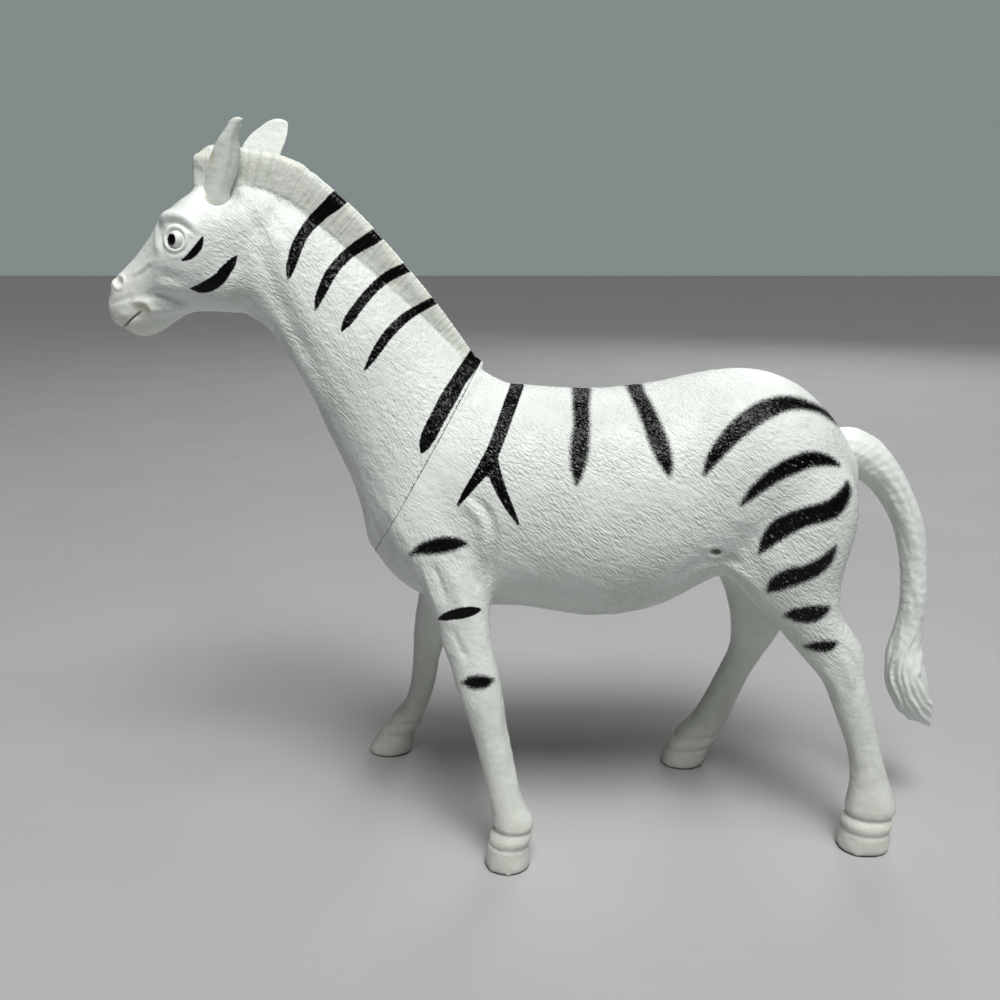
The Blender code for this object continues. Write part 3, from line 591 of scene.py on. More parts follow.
HEAD_STROKES = [
    # brow roll, the hollow under it and the lid's outer folds
    ([(158.2, 231), (158.8, 223), (162, 217.5), (168, 214.6), (176, 214.6), (184, 218), (191, 223.6),
     (197, 230), (202, 237)], 4.6, 0.62),
    ([(164, 227), (169, 222.6), (176, 222), (184, 225.6), (190, 231.4), (195, 238)], 2.4, -0.45),
    ([(184, 228.5), (189.5, 233.5), (193.5, 239.5)], 1.6, 0.22),
    ([(186, 251), (180, 256), (172, 257), (165, 253)], 2.6, 0.14),
    ([(157.6, 224), (156.6, 234), (156.8, 246), (159.5, 257)], 2.6, 0.30),
    ([(162.6, 231), (161.2, 240), (162.5, 250), (166, 257)], 1.8, -0.16),
    # bridge of the nose: a vein and the groove before it
    ([(155, 256), (149.5, 262.6), (142.6, 268.6), (136, 273.2), (129, 276)], 2.6, 0.24),
    ([(153, 263), (147.5, 269), (141, 274), (134, 278)], 3.2, -0.18),
    # cheekbone and the hollow under it
    ([(150, 261), (160, 263.4), (171, 267), (182, 272), (192, 278)], 6.0, 0.10),
    ([(158, 273), (164, 274.6), (170, 276.4), (178, 279.5), (186, 283)], 6.2, -0.34),
    ([(152, 284), (166, 285.4), (180, 288.4), (196, 294)], 6.2, 0.22),
    # hollow behind the lips and the jaw's lower edge
    ([(144, 298), (152, 295.4), (161, 296), (171, 298.8), (182, 301.6), (198, 304)], 4.6, -0.95),
    ([(146, 309.5), (158, 311), (170, 310.5), (182, 309), (200, 309.5)], 4.0, 0.42),
    ([(154, 322), (166, 319), (178, 315), (192, 312)], 3.6, -0.28),
    # corner of the mouth, the mouth itself and the lips
    ([(131, 306), (136, 302.2), (142.5, 301.6), (148.5, 305), (152, 311), (150, 317)], 3.4, 0.60),
    (MOUTH_LINE, 0.95, -0.8),
    ([(129, 311), (121, 317), (113, 322)], 4.0, 0.2),
    ([(143, 318), (136, 323), (129, 330)], 3.2, 0.2),
    ([(135, 293), (126, 298.5), (117, 302), (108, 303)], 3.4, -0.22),
    # jaw angle and throat
    ([(226, 292), (238, 298), (247, 304), (254, 311)], 4.5, -0.35),
    ([(243, 303), (252, 310), (259, 320), (264, 333)], 3.6, -0.45),
    ([(206, 300), (220, 303), (234, 305)], 4.5, 0.25),
]
NECK_STROKES = [
    # the throat's groove and the windpipe before it
    ([(250, 300), (263, 318), (278, 338), (291, 361), (303, 387), (317, 411), (333, 432)], 4.6, -0.72),
    ([(252, 318), (266, 338), (280, 363), (294, 390), (308, 414)], 5.5, 0.32),
    ([(252, 226), (262, 256), (274, 290), (291, 326), (314, 366), (336, 402)], 6.4, -0.55),
    ([(267, 216), (279, 250), (293, 284), (312, 322), (337, 362)], 8.0, 0.40),
    ([(246, 262), (256, 290), (273, 325), (297, 366), (328, 412)], 7.0, 0.42),
    ([(250, 192), (261, 212), (272, 236), (280, 258)], 4.6, 0.36),
    ([(243, 200), (253, 222), (262, 246)], 4.2, -0.32),
    ([(264, 203), (277, 224), (290, 246)], 4.0, -0.24),
]
BODY_STROKES = [
    # rear edge of the foreleg where it stands out from the barrel, and the shoulder's swell
    ([(466, 497), (476, 501), (485, 509), (491, 521), (494, 536), (493, 552), (491, 568), (490, 584),
     (490.5, 600)], 3.4, -1.2),
    ([(455, 500), (466, 504), (476, 511), (482, 523), (484.5, 540), (483, 558), (480, 576)], 5.5, 0.75),
    ([(398, 520), (404, 536), (412, 552), (420, 568)], 6.0, 0.3),
    # the forearm's front crease and the flank's upper one
    ([(431, 560), (435.5, 571), (440, 583), (444, 595), (448, 609)], 2.8, -0.75),
    ([(722, 554), (729, 557), (737, 562), (747, 569)], 3.0, -0.35),
    # thigh muscle line, and the hollow before the tail's root
    ([(736, 520), (744, 545), (757, 570), (774, 596)], 6.0, -0.3),
    ([(752, 500), (762, 530), (776, 560), (796, 590)], 7.0, 0.25),
]
# Strokes of the near side alone
NEAR_STROKES = [
    # creases of the forearm and the ridges beside them
    ([(472, 564), (475, 574), (477.5, 584), (479, 594)], 2.6, -0.4),
    ([(450, 624), (454, 634), (459, 645), (464, 655), (468, 664)], 2.6, -0.65),
    ([(423, 566), (427, 580), (432, 594), (437, 608), (441, 622)], 2.8, 0.42),
    ([(451, 562), (455, 578), (459, 594), (465, 612), (472, 632)], 5.5, 0.45),
    ([(440, 630), (446, 646), (452, 660)], 2.6, 0.35),
    # flank fold and its edge
    ([(688, 579), (698, 573), (707, 567.5), (715, 565), (727, 566), (740, 572.5), (752, 584), (764, 599),
     (775, 615)], 3.2, 0.55),
    ([(672, 580), (686, 571), (700, 562), (713, 557)], 4.5, -0.35),
    # hock: tendon groove, the bone beside it and the point of the hock
    ([(843, 644), (850, 655), (856, 666), (858.5, 680), (859, 697), (860, 712)], 2.8, -0.6),
    ([(838, 652), (846, 664), (850, 678), (852, 694)], 4.0, 0.45),
    ([(860, 637), (866, 645), (868, 654), (868, 664)], 3.6, 0.5),
    ([(820, 668), (830, 678), (838, 692), (842, 708)], 4.0, 0.3),
    # cannon tendons
    ([(478, 690), (482, 715), (487, 745), (492, 775)], 3.6, 0.25),
    ([(502, 700), (506, 730), (511, 760), (516, 785)], 2.6, -0.35),
    ([(852, 730), (856, 752), (860, 775)], 3.4, 0.22),
    ([(868, 730), (871, 755), (873, 782)], 2.6, -0.35),
]
# Hoof bands, in mm: the leg's middle x, its side (1 is far), the height of the upper groove, of the
# roll and of the lower groove, and how much the band drops toward the tail
HOOVES = [(-9.4, -1, 9.9, 8.0, 6.2, 0.04), (-44.8, 1, 10.4, 8.4, 6.6, -0.10),
          (81.8, -1, 9.2, 7.1, 5.3, 0.03), (43.0, 1, 9.4, 7.4, 5.5, -0.10)]
HOOF_HALF = 17
HOOF_TOP = 20
# Reach of the ears' filled sockets and of the rise round their roots, and the half width in mm over
# which the face is rounded
EAR_SOCKET = 4.0 * MM
EAR_COLLAR = 1.8 * MM
FACE_HALF = 8.5
# In mm: pitch of the mane's comb, and of the tail's ribs, fine strands and coarse strands
COMB_PITCH = 0.92
RIB_PITCH = 2.3
STRAND_PITCH = 1.5
LOCK_PITCH = 2.9


def hoof_field(co):
    """Two grooves round each hoof with a roll between them, and the rounded edge of its sole."""
    x, y, z = (co / MM).T
    field = np.zeros(len(co))
    for middle, side, upper, roll, lower, drop in HOOVES:
        near = (np.abs(x - middle) < HOOF_HALF) & (y * side > 0) & (z < HOOF_TOP)
        level = z + drop * (x - middle)
        field += near * (-0.50 * bell(level, upper, 0.70) + 0.20 * bell(level, roll, 0.85)
                         - 0.26 * bell(level, lower, 0.50) - 0.25 * ease(1.1, 0.0, level))
    return field


# The mane's foot, as picture places, and the box that the mane lies in
MANE_FOOT = [(190, 186), (212, 186), (233, 185), (250, 186), (268, 190), (283, 197), (297, 205), (312, 216),
    (328, 231), (345, 246), (362, 262), (380, 277), (397, 293), (415, 309), (432, 325), (448, 342),
    (462, 358)]
MANE_REACH = 6.5 * MM
MANE_FRONT = 186
MANE_END = 362


def mane_share(co):
    """1 on the mane, 0 off it, and how far along its foot a place lies, in mm."""
    picture = picture_places(co)
    across, down = picture.T
    foot = curve_through(MANE_FOOT)
    near = np.flatnonzero((np.abs(co[:, 1]) < MANE_REACH) & (across > MANE_FRONT) & (down < MANE_END)
                          & (down < 240 + 0.9 * (across - MANE_FRONT)))
    gap, share, _ = nearest_on(foot, picture[near])
    below = np.interp(picture[near, 0], foot[:, 0], foot[:, 1])
    above = np.where(picture[near, 1] < below, gap, -gap)
    out = np.zeros(len(co))
    out[near] = ease(-2.0, 2.5, above)
    run = np.zeros(len(co))
    steps = np.linalg.norm(np.diff(foot, axis=0), axis=1)
    lengths = np.concatenate([[0], np.cumsum(steps)]) * POINT_SIZE
    run[near] = np.interp(share, np.linspace(0, 1, len(foot)), lengths)
    return out, run


def in_box(co, right, top, bottom):
    """Ahead of one picture column and between two rows."""
    across, down = picture_places(co).T
    return (across < right) & (down > top) & (down < bottom)


def in_oval(co, middle, half):
    return off_oval(picture_places(co), middle, (half, half)) < 1


def gap_to(mesh, co, reach):
    """Distance of each place from the mesh's surface, at most reach."""
    tree = tree_of(mesh)
    out = np.full(len(co), reach)
    own = places(mesh)
    near = np.all((co > own.min(0) - reach) & (co < own.max(0) + reach), axis=1)
    for i in np.flatnonzero(near):
        found = tree.find_nearest(Vector(co[i]), reach)
        if found[0] is not None:
            out[i] = found[3]
    return out


# The sockets of the ears are filled, and the face is rounded across before it is carved
for node in ear_meshes:
    co = places(head_mesh)
    close = gap_to(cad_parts[node].data, co, EAR_SOCKET)
    open_to = ease(EAR_SOCKET, 1.5 * MM, close) * ease(4.6 * MM, 6.2 * MM, np.abs(co[:, 1]))
    average(head_mesh, 60, 1 - open_to)
co, picture = seen_on(head_mesh)
way = normals(head_mesh)
side = np.abs(co[:, 1]) / MM
front = ease(210, 190, picture[:, 0]) * ease(0.1, 0.6, -way[:, 0] + 0.5 * way[:, 2])
raise_by(head_mesh, 0.75 * front * np.clip(1 - (side / FACE_HALF) ** 2, 0, 1))
average(head_mesh, 10, 1 - ease(214, 196, picture[:, 0]))

# Finer grain where the detail is: face and mane, then eye, then lips; and the hooves and the vent
refine(head_mesh, lambda co: in_box(co, 206, 0, 345) | (mane_share(co)[0] > 0.5))
refine(head_mesh, lambda co: in_oval(co, EYE_MIDDLE, 15))
refine(head_mesh, lambda co: in_box(co, 152, 268, 336))
refine(body_mesh, lambda co: (co[:, 2] < 15.5 * MM) | in_oval(co, VENT_MIDDLE, 12))

# The mane's edges are rounded, most at the forelock
co, picture = seen_on(head_mesh)
average(head_mesh, 12, 1 - mane_share(co)[0] * (0.25 + 0.75 * ease(250, 215, picture[:, 0])))

# Streaks of the coat and of the muscles under it
co, picture = seen_on(head_mesh)
on_mane, run = mane_share(co)
coat_here = ease(196, 222, picture[:, 0] - 0.25 * (picture[:, 1] - 230)) * (1 - on_mane)
streaks = 0.14 * rumple(co, lean=56, along=7.0, across=1.7, seed=3.0) * coat_here
lumps = 0.42 * rumple(co, lean=75, along=4.5, across=2.6, seed=9.0) * on_mane
lumps *= ease(262, 230, picture[:, 0])
comb = 0.03 * np.sin(run * 2 * math.pi / COMB_PITCH + 1.3 * np.sin(run * 1.7)) * on_mane
raise_by(head_mesh, streaks + lumps + comb)

co, picture = seen_on(head_mesh)
side = np.abs(co[:, 1]) / MM
off_middle = ease(1.5, 4.5, side)
field = eye_field(picture) + stroked(picture, HEAD_STROKES) * off_middle + stroked(picture, NECK_STROKES)
gap = off_oval(picture, NOSTRIL_MIDDLE, NOSTRIL_HALF)
field += (-0.95 * bell(gap, 0, 1) + 0.26 * bell(gap, 1.9, 0.7)) * off_middle
# forelock: knobs on its top and a notch in the crest
field += dent(picture, (209, 144), (6, 4), 0.35) + dent(picture, (197, 150), (5, 5), -0.3)
field += dent(picture, (311, 169), (3.5, 3.5), -0.3)
raise_by(head_mesh, field)

# The head rises a little round the roots of the ears, so that they grow out of it
for mesh in ear_meshes.values():
    co = places(head_mesh)
    raise_by(head_mesh, 0.55 * (1 - gap_to(mesh, co, EAR_COLLAR) / EAR_COLLAR) ** 2
             * ease(4.0 * MM, 6.0 * MM, np.abs(co[:, 1])))

co, picture = seen_on(body_mesh)
near_side = co[:, 1] < 0
field = hoof_field(co) + stroked(picture, BODY_STROKES) + stroked(picture, NEAR_STROKES) * near_side
gap = off_oval(picture, VENT_MIDDLE, VENT_HALF)
field += (-1.5 * np.exp(-gap ** 4) + 0.18 * bell(gap, 2.0, 0.8)) * near_side
field += dent(picture, (704, 553), (8, 4), -0.25) * near_side
up = co[:, 2] / MM
field += 0.11 * rumple(co, lean=42, along=7.0, across=1.9, seed=5.0) * ease(20, 60, up)
field += 0.10 * rumple(co, lean=75, along=6.0, across=2.4, seed=7.0) * ease(60, 30, up) * ease(14, 20, up)
# the moulding's rim stands a little proud along the seam
field += 0.17 * bell(past_seam(co), 0, 0.9 * MM)
raise_by(body_mesh, field)
# the soles are rounded at their edge and don't go through the floor
average(body_mesh, 24, ease(1.5 * MM, 3.2 * MM, places(body_mesh)[:, 2]))
co = places(body_mesh)
co[:, 2] = np.maximum(co[:, 2], 0)
place(body_mesh, co)

# Tail: ribs across its upper part, and strands in the tuft. Its middle line is in picture places, its
# run in mm, and aside is the distance from that line, below zero on one side
TAIL_MIDDLE = [(838, 428), (858, 436), (877, 452), (893, 478), (906, 512), (915, 550), (919, 590),
    (917, 625), (908, 655), (904, 680), (914, 705), (926, 722)]
TAIL_RUN = 82.0
co = places(tail_mesh)
picture = seen_places(co)
path = curve_through(TAIL_MIDDLE)
gap, share, _ = nearest_on(path, picture)
at = share * (len(path) - 1)
before = np.clip(at.astype(int), 0, len(path) - 2)
ahead = path[before + 1] - path[before]
off = picture - path[at.round().astype(int)]
aside = np.sign(ahead[:, 0] * off[:, 1] - ahead[:, 1] * off[:, 0]) * gap * POINT_SIZE
around = np.arctan2(co[:, 1] / MM, aside + 1e-6)
length = share * TAIL_RUN
tuft = ease(49, 64, length)
strands = np.array([noise.noise(Vector((l / 5.5, 2.2 * math.sin(a), 2.2 * math.cos(a) + l / 24)))
                    for l, a in zip(length.tolist(), around.tolist())])
ribs = np.sin(2 * math.pi * length / RIB_PITCH + 1.6 * around + 3 * strands)
field = (0.30 * strands + 0.035 * ribs) * ease(2, 9, length) * (1 - tuft)
field += (0.17 * np.cos(2 * math.pi * aside / STRAND_PITCH + 3.0 * strands + 0.1 * length)
          + 0.20 * np.cos(2 * math.pi * aside / LOCK_PITCH + 3.4 * strands) + 0.3 * strands) * tuft
raise_by(tail_mesh, field)

# Painted stripes, and painted shade in the vent, the mouth line and the nostril pits. The near side's paint
# isn't carried to the inner faces of the legs
co = places(body_mesh)
field, soft = stripe_field(co, BODY_STRIPES)
inward = -normals(body_mesh)[:, 1] * np.sign(co[:, 1])
field += NO_PAINT * ease(0.0, 0.5, inward) * (co[:, 2] < LEG_HIP)
gap = off_oval(picture_places(co), VENT_MIDDLE, VENT_HALF)
put_values(body_mesh, stripe=field, soft=soft, grime=np.exp(-(gap / 0.95) ** 4) * (co[:, 1] < 0))

co, picture = seen_on(head_mesh)
field, soft = stripe_field(co, NECK_STRIPES)
pupil = (off_oval(picture, PUPIL_MIDDLE, PUPIL_HALF) - 1) * PUPIL_HALF[0] * POINT_SIZE
mouth = nearest_on(curve_through(MOUTH_LINE), picture)[0]
pit = off_oval(picture, NOSTRIL_PIT_MIDDLE, NOSTRIL_PIT_HALF)
# the pupil's paint, and painted shade in the mouth line and the nostril pits
put_values(head_mesh, stripe=np.minimum(field, pupil), soft=soft,
           grime=0.75 * bell(mouth, 0, 1) + 0.4 * bell(pit, 0, 1))

# How the moulded coat leans and how deep it is, how creamy and stained the vinyl is, and where it is
# greyer: partly a duller vinyl, partly painted shade
co, picture = seen_on(body_mesh)
x, _, z = (co / MM).T
turn = MIDDLE_LEAN + 20 * ease(-10, -24, x) * ease(92, 78, z) - 12 * ease(38, 60, x) * ease(80, 95, z)
coat = ease(20, 46, z) * (1 - 0.30 * ease(0.75, 0.97, normals(body_mesh)[:, 2]))
# the shoulder, the chest, the forearm and the hind leg are smoother
coat *= 1 - dent(picture, (434, 484), (36, 46), 0.8) - dent(picture, (358, 530), (34, 50), 0.4)
coat *= 1 - 0.65 * ease(84, 66, z) * ease(16, 6, x)
coat *= 1 - 0.8 * ease(56, 42, z) * ease(20, 30, x)
# darker toward the bottom of the body and legs: partly a duller vinyl, partly painted shade where less
# light falls
put_values(body_mesh, turn=turn, coat=coat, cream=0.55 * ease(24, 6, z), dull=0.75 * ease(85, 12, z),
           stain=0)

co, picture = seen_on(head_mesh)
across, down = picture.T
x, _, z = (co / MM).T
on_mane, run = mane_share(co)
# the muzzle, the bridge of the nose, the eye and the chest are smooth
off_bridge = (across - 160) * 0.76 + (down - 225) * 0.65
off_eye = off_oval(picture, EYE_MIDDLE, (24, 25))
coat = ease(16, 36, off_bridge) * ease(146, 168, across) * ease(0.8, 1.25, off_eye)
coat *= (1 - on_mane) * (0.5 + 0.5 * ease(195, 262, across))
coat *= 1 - dent(picture, (372, 500), (34, 60), 0.5)
stain = dent(picture, (143.6, 308.5), (6, 5.5), 0.9) + dent(picture, (104, 305), (5, 7), 0.4)
# a weaker band of the stain colour along the underside of the jaw, darker toward the bottom of the head
stain += 0.25 * ease(320, 336, down) * (across < 200)
# painted shade on the mane: darker on its sides, lighter where it faces up; the muzzle is a little darker
# too
dull = on_mane * (0.55 - 0.45 * ease(0.35, 0.85, normals(head_mesh)[:, 2]))
put_values(head_mesh, turn=54 - 29 * ease(-58, -74, x + 0.55 * (z - 140)), coat=coat,
           cream=np.maximum(0.4 * on_mane, 0.35 * ease(165, 120, across)),
           dull=np.maximum(dull, 0.15 * ease(170, 120, across)), stain=stain, comb=run, mane=on_mane)

for mesh in ear_meshes.values():
    ear_stain = dent(seen_places(places(mesh)), (212, 157), (4, 7), 0.6)
    put_values(mesh, stripe=NO_PAINT, soft=CRISP, grime=0, coat=0, cream=0.2, dull=0, stain=ear_stain)
put_values(tail_mesh, stripe=NO_PAINT, soft=CRISP, grime=0, coat=0, cream=0, dull=0, stain=0)


# Materials
class Look:
    """A material, with short names for the nodes that it is built from."""

    def __init__(self, name):
        self.material = bpy.data.materials.new(name)
        self.material.use_nodes = True
        self.tree = self.material.node_tree
        self.shader = self.tree.nodes["Principled BSDF"]
        self.where = self.add("ShaderNodeTexCoord", {}).outputs["Object"]

    def feed(self, socket, value):
        """Sets a socket to a number or a colour, or links another node's output to it."""
        if isinstance(value, bpy.types.NodeSocket):
            self.tree.links.new(value, socket)
        else:
            socket.default_value = value

    def add(self, kind, inputs, **settings):
        node = self.tree.nodes.new(kind)
        for key, value in settings.items():
            setattr(node, key, value)
        for key, value in inputs.items():
            self.feed(node.inputs[key], value)
        return node

    def maths(self, operation, a, b):
        return self.add("ShaderNodeMath", {0: a, 1: b}, operation=operation).outputs[0]

    def plus(self, a, b):
        return self.maths("ADD", a, b)

    def minus(self, a, b):
        return self.maths("SUBTRACT", a, b)

    def times(self, a, b):
        return self.maths("MULTIPLY", a, b)

    def vector(self, operation, inputs):
        return self.add("ShaderNodeVectorMath", inputs, operation=operation).outputs[0]

    def spread(self, value, low, high, to_low=0.0, to_high=1.0):
        """A value eased from to_low, where it is low, to to_high, where it is high."""
        ends = {"From Min": low, "From Max": high, "To Min": to_low, "To Max": to_high}
        return self.add("ShaderNodeMapRange", {"Value": value, **ends},
                        interpolation_type="SMOOTHSTEP").outputs["Result"]

    def blend(self, share, a, b, how="MIX"):
        node = self.add("ShaderNodeMix", {}, data_type="RGBA", blend_type=how)
        used = {socket.name: socket for socket in node.inputs if socket.enabled}
        for key, value in (("Factor", share), ("A", a), ("B", b)):
            self.feed(used[key], value)
        return next(socket for socket in node.outputs if socket.enabled)

    def noise(self, cells, detail=2.0, where=None):
        inputs = {"Scale": cells, "Detail": detail, "Vector": where or self.where}
        return self.add("ShaderNodeTexNoise", inputs).outputs[0]

    def value(self, name):
        """A field stored on the mesh."""
        return self.add("ShaderNodeAttribute", {}, attribute_name=name).outputs["Fac"]

    def patches(self, name, cells, detail, low, high, least):
        """A field stored on the mesh, thinned in patches to the least share."""
        return self.times(self.value(name), self.spread(self.noise(cells, detail), low, high, least))


WHITE = (0.83, 0.862, 0.825, 1)
CREAM = (0.76, 0.765, 0.66, 1)
STAIN = (0.52, 0.56, 0.30, 1)
# greyer vinyl, also used for painted shade on the lower legs and the mane's sides
DULL_AND_SHADE = (0.585, 0.61, 0.55, 1)
MANE_GROOVE_SHADE = (0.42, 0.46, 0.40, 1)
SHADE = (0.66, 0.70, 0.66, 1)
BLACK = (0.004, 0.004, 0.0045, 1)
# grey over the highest hairs in the paint: partly rubbed paint, partly painted glints
WORN_AND_GLINT = (0.26, 0.265, 0.26, 1)
# dark brown of the dirt specks, also used for painted shade in the vent, the mouth line and the nostril
# pits
SPECK_AND_SHADE = (0.10, 0.085, 0.055, 1)

# Sizes of the patterns, in cells per metre, or per mm for the mane's teeth, and of the relief
FINE_GRAIN = 1500
PIMPLES = 620
HAIRS = 1950
HAIR_WAVES = 420
CURLS = 640
MANE_TEETH = 0.95
MANE_TUFTS = 430
SPECKS = 70
PAINT_EDGE = 2400
SPRAY_DOTS = 3600
HAIR_LENGTHEN = 0.30
HAIR_BEND = 1.0 * MM
RELIEF = 0.28 * MM


def hair_field(look, bent):
    """Moulded hairs: cells drawn out along their lean, in three leans that pass into each other."""
    turn = look.value("turn")
    level = look.spread(turn, MIDDLE_LEAN, LEVEL_LEAN)
    steep = look.spread(turn, MIDDLE_LEAN, STEEP_LEAN)
    middle = look.minus(look.minus(1.0, level), steep)
    parts = []
    for lean, share in ((LEVEL_LEAN, level), (MIDDLE_LEAN, middle), (STEEP_LEAN, steep)):
        turned = look.add("ShaderNodeVectorRotate", {"Angle": -math.radians(lean), "Vector": bent},
                          rotation_type="Y_AXIS").outputs[0]
        drawn = look.add("ShaderNodeMapping", {"Scale": (HAIR_LENGTHEN, 1, 1), "Vector": turned}).outputs[0]
        cells = look.add("ShaderNodeTexVoronoi", {"Scale": HAIRS, "Smoothness": 0.3, "Vector": drawn},
                         feature="SMOOTH_F1")
        parts.append(look.times(cells.outputs["Distance"], share))
    return look.plus(look.plus(parts[0], parts[1]), parts[2])


def coat_relief(look, height, coat):
    """The height with the moulded hairs and curls, the hairs by themselves, and the grooves' depth."""
    waves = look.add("ShaderNodeTexNoise", {"Scale": HAIR_WAVES, "Detail": 1, "Vector": look.where})
    centred = look.vector("SUBTRACT", {0: waves.outputs["Color"], 1: (0.5, 0.5, 0.5)})
    bent = look.vector("ADD", {0: look.where, 1: look.vector("SCALE", {0: centred, "Scale": HAIR_BEND})})
    hairs = hair_field(look, bent)
    groove = look.times(hairs, look.patches("coat", 110, 2, 0.3, 0.62, 0.45))
    curls = look.times(look.noise(CURLS, 3, bent), coat)
    height = look.plus(look.minus(height, groove), look.times(curls, 0.75))
    return height, hairs, groove


def mane_relief(look, height):
    """The height with the mane's teeth and tufts, and the teeth and the mane's field."""
    teeth = look.add("ShaderNodeTexNoise", {"Scale": MANE_TEETH, "Detail": 3, "W": look.value("comb")},
                     noise_dimensions="1D").outputs[0]
    mane = look.value("mane")
    height = look.plus(height, look.times(look.times(teeth, mane), 0.8))
    height = look.plus(height, look.times(look.times(look.noise(MANE_TUFTS, 3), mane), 0.95))
    return height, teeth, mane


def specks(look):
    """Small dark specks of dirt of unlike sizes, in few of the cells."""
    dots = look.add("ShaderNodeTexVoronoi", {"Scale": SPECKS, "Vector": look.where})
    apart = look.add("ShaderNodeSeparateColor", {0: dots.outputs["Color"]})
    size = look.spread(apart.outputs[0], 0.84, 1.0, 0.0, 0.026)
    return look.times(look.maths("LESS_THAN", dots.outputs["Distance"], size), 0.8)


def sprayed_paint(look):
    """1 in the stripes and 0 off them. The edge wanders, and a soft one breaks up into dots."""
    wobble = look.times(look.minus(look.noise(PAINT_EDGE), 0.5), 0.55)
    edge = look.plus(look.value("stripe"), wobble)
    soft = look.value("soft")
    spray = look.times(look.minus(look.noise(SPRAY_DOTS, 1), 0.5), look.spread(soft, CRISP, HAZE, 0.0, 2.6))
    return look.spread(look.plus(look.maths("DIVIDE", edge, soft), spray), 1.35, -0.45)


def vinyl(name, coated=False, maned=False):
    """Moulded vinyl: mottled white with cream and stains, painted shade in its grooves, recesses and low
    parts, sprayed stripes with painted glints, and a moulded coat.
    """
    look = Look(name)
    coat = look.value("coat")
    height = look.plus(look.times(look.noise(FINE_GRAIN, 3), 0.10), look.times(look.noise(PIMPLES, 3), 0.7))
    if coated:
        height, hairs, groove = coat_relief(look, height, coat)
    if maned:
        height, teeth, mane = mane_relief(look, height)

    # the bare vinyl, with painted shade laid into its colour
    mottle = look.spread(look.noise(45, 4), 0.35, 0.75, 0.0, 0.35)
    colour = look.blend(mottle, WHITE, SHADE)
    colour = look.blend(look.patches("cream", 190, 3, 0.25, 0.6, 0.45), colour, CREAM)
    # painted shade, partly a duller vinyl: greyer in patches on the lower legs and the mane's sides
    colour = look.blend(look.patches("dull", 260, 3, 0.25, 0.65, 0.55), colour, DULL_AND_SHADE)
    if maned:
        # painted shade in the grooves between the mane's teeth
        between = look.spread(teeth, 0.5, 0.3)
        colour = look.blend(look.times(between, look.times(mane, 0.3)), colour, MANE_GROOVE_SHADE)
    colour = look.blend(look.patches("stain", 420, 2, 0.3, 0.65, 0.3), colour, STAIN)
    if coated:
        # painted shade in the grooves of the moulded hairs
        colour = look.blend(look.times(groove, 0.45), colour, SHADE, "MULTIPLY")
    colour = look.blend(specks(look), colour, SPECK_AND_SHADE)
    # painted shade in the vent, the mouth line and the nostril pits
    colour = look.blend(look.times(look.value("grime"), 0.85), colour, SPECK_AND_SHADE)

    # the paint, whose film is thin over the highest hairs; the grey there is partly rubbed paint and partly
    # painted glints of light
    paint = sprayed_paint(look)
    glint_and_wear = look.spread(look.noise(FINE_GRAIN, 3), 0.46, 0.66)
    if coated:
        glint_and_wear = look.times(glint_and_wear, look.spread(hairs, 0.40, 0.22))
    glint_and_wear = look.times(glint_and_wear, look.spread(coat, 0.72, 0.97))
    colour = look.blend(paint, colour, look.blend(glint_and_wear, BLACK, WORN_AND_GLINT))
    look.feed(look.shader.inputs["Base Color"], colour)
    rough = look.spread(look.noise(160), 0.3, 0.7, 0.36, 0.47)
    look.feed(look.shader.inputs["Roughness"], look.plus(rough, look.times(paint, -0.12)))
    look.feed(look.shader.inputs["Specular IOR Level"], 0.25)
    bump = look.add("ShaderNodeBump", {"Strength": 1.0, "Distance": RELIEF, "Height": height})
    look.feed(look.shader.inputs["Normal"], bump.outputs[0])
    return look.material


ear_vinyl = vinyl("ear_vinyl")
for mesh, node, material in (
        (body_mesh, "body_shell", vinyl("coated_vinyl", coated=True)),
        (head_mesh, "head_neck_shell", vinyl("maned_vinyl", coated=True, maned=True)),
        (ear_meshes["left_ear"], "left_ear", ear_vinyl),
        (ear_meshes["right_ear"], "right_ear", ear_vinyl),
        (tail_mesh, "tail", vinyl("tail_vinyl"))):
    mesh.shade_smooth()
    mesh.materials.append(material)
    piece = linked(mesh.name, mesh)
    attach(piece, "root")
    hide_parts(node)

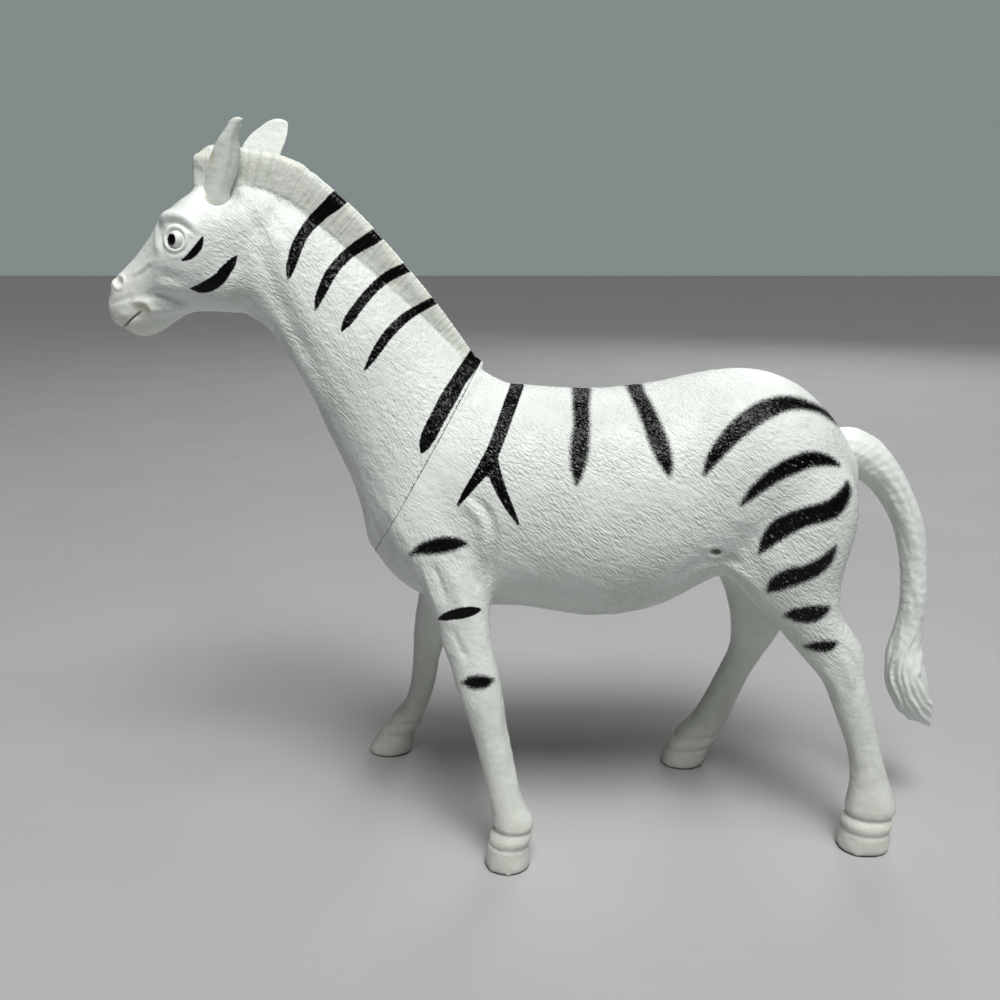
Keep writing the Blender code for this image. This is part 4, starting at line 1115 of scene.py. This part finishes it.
# Floor, light and camera
FLOOR_HALF = 6.0
LAMP_AIM = Vector((0, 0, 0.08))
bm = bmesh.new()
bmesh.ops.create_grid(bm, x_segments=2, y_segments=2, size=FLOOR_HALF)
floor = linked("floor", mesh_of(bm, "floor"))
ground = Look("pale_floor")
floor_tone = ground.spread(ground.noise(14, 5), 0.3, 0.7)
ground.feed(ground.shader.inputs["Base Color"],
            ground.blend(floor_tone, (0.44, 0.44, 0.44, 1), (0.46, 0.46, 0.46, 1)))
ground.feed(ground.shader.inputs["Roughness"], 0.8)
floor.data.materials.append(ground.material)

# The world lights the scene faintly, and the camera sees a plain grey wall in it
world = bpy.data.worlds.new("studio")
bpy.context.scene.world = world
world.use_nodes = True
nodes = world.node_tree.nodes
lighting = nodes["Background"]
lighting.inputs["Color"].default_value = (0.50, 0.54, 0.56, 1)
lighting.inputs["Strength"].default_value = 0.04
wall = nodes.new("ShaderNodeBackground")
wall.inputs["Color"].default_value = (0.215, 0.248, 0.245, 1)
wall.inputs["Strength"].default_value = 1.0
ray = nodes.new("ShaderNodeLightPath")
either = nodes.new("ShaderNodeMixShader")
link = world.node_tree.links.new
link(ray.outputs["Is Camera Ray"], either.inputs[0])
link(lighting.outputs[0], either.inputs[1])
link(wall.outputs[0], either.inputs[2])
link(either.outputs[0], nodes["World Output"].inputs["Surface"])
bpy.context.scene.view_settings.view_transform = "Standard"
bpy.context.scene.view_settings.look = "Medium High Contrast"


def soft_light(name, place_at, size, watts):
    lamp = bpy.data.lights.new(name, "AREA")
    lamp.shape = "DISK"
    lamp.size = size
    lamp.energy = watts
    obj = linked(name, lamp)
    obj.location = place_at
    obj.rotation_euler = (LAMP_AIM - Vector(place_at)).to_track_quat("-Z", "Y").to_euler()


soft_light("overhead", (0.07, -0.44, 0.92), 0.42, 5.35)
soft_light("fill", (0.45, 1.1, 0.75), 0.7, 3.4)
day = bpy.data.lights.new("window_light", "SUN")
day.angle = math.radians(38)
day.energy = 1.15
linked("window_light", day).rotation_euler = Vector((0.16, -0.34, 0.92)).to_track_quat("Z", "Y").to_euler()

camera_data = bpy.data.cameras.new("camera")
camera_data.lens = 36
camera_data.sensor_width = 36
camera_data.clip_start = 0.01
camera = linked("camera", camera_data)
camera.location = EYE_POINT
camera.rotation_euler = (math.pi / 2 - EYE_DOWN, 0, 0)
bpy.context.scene.camera = camera
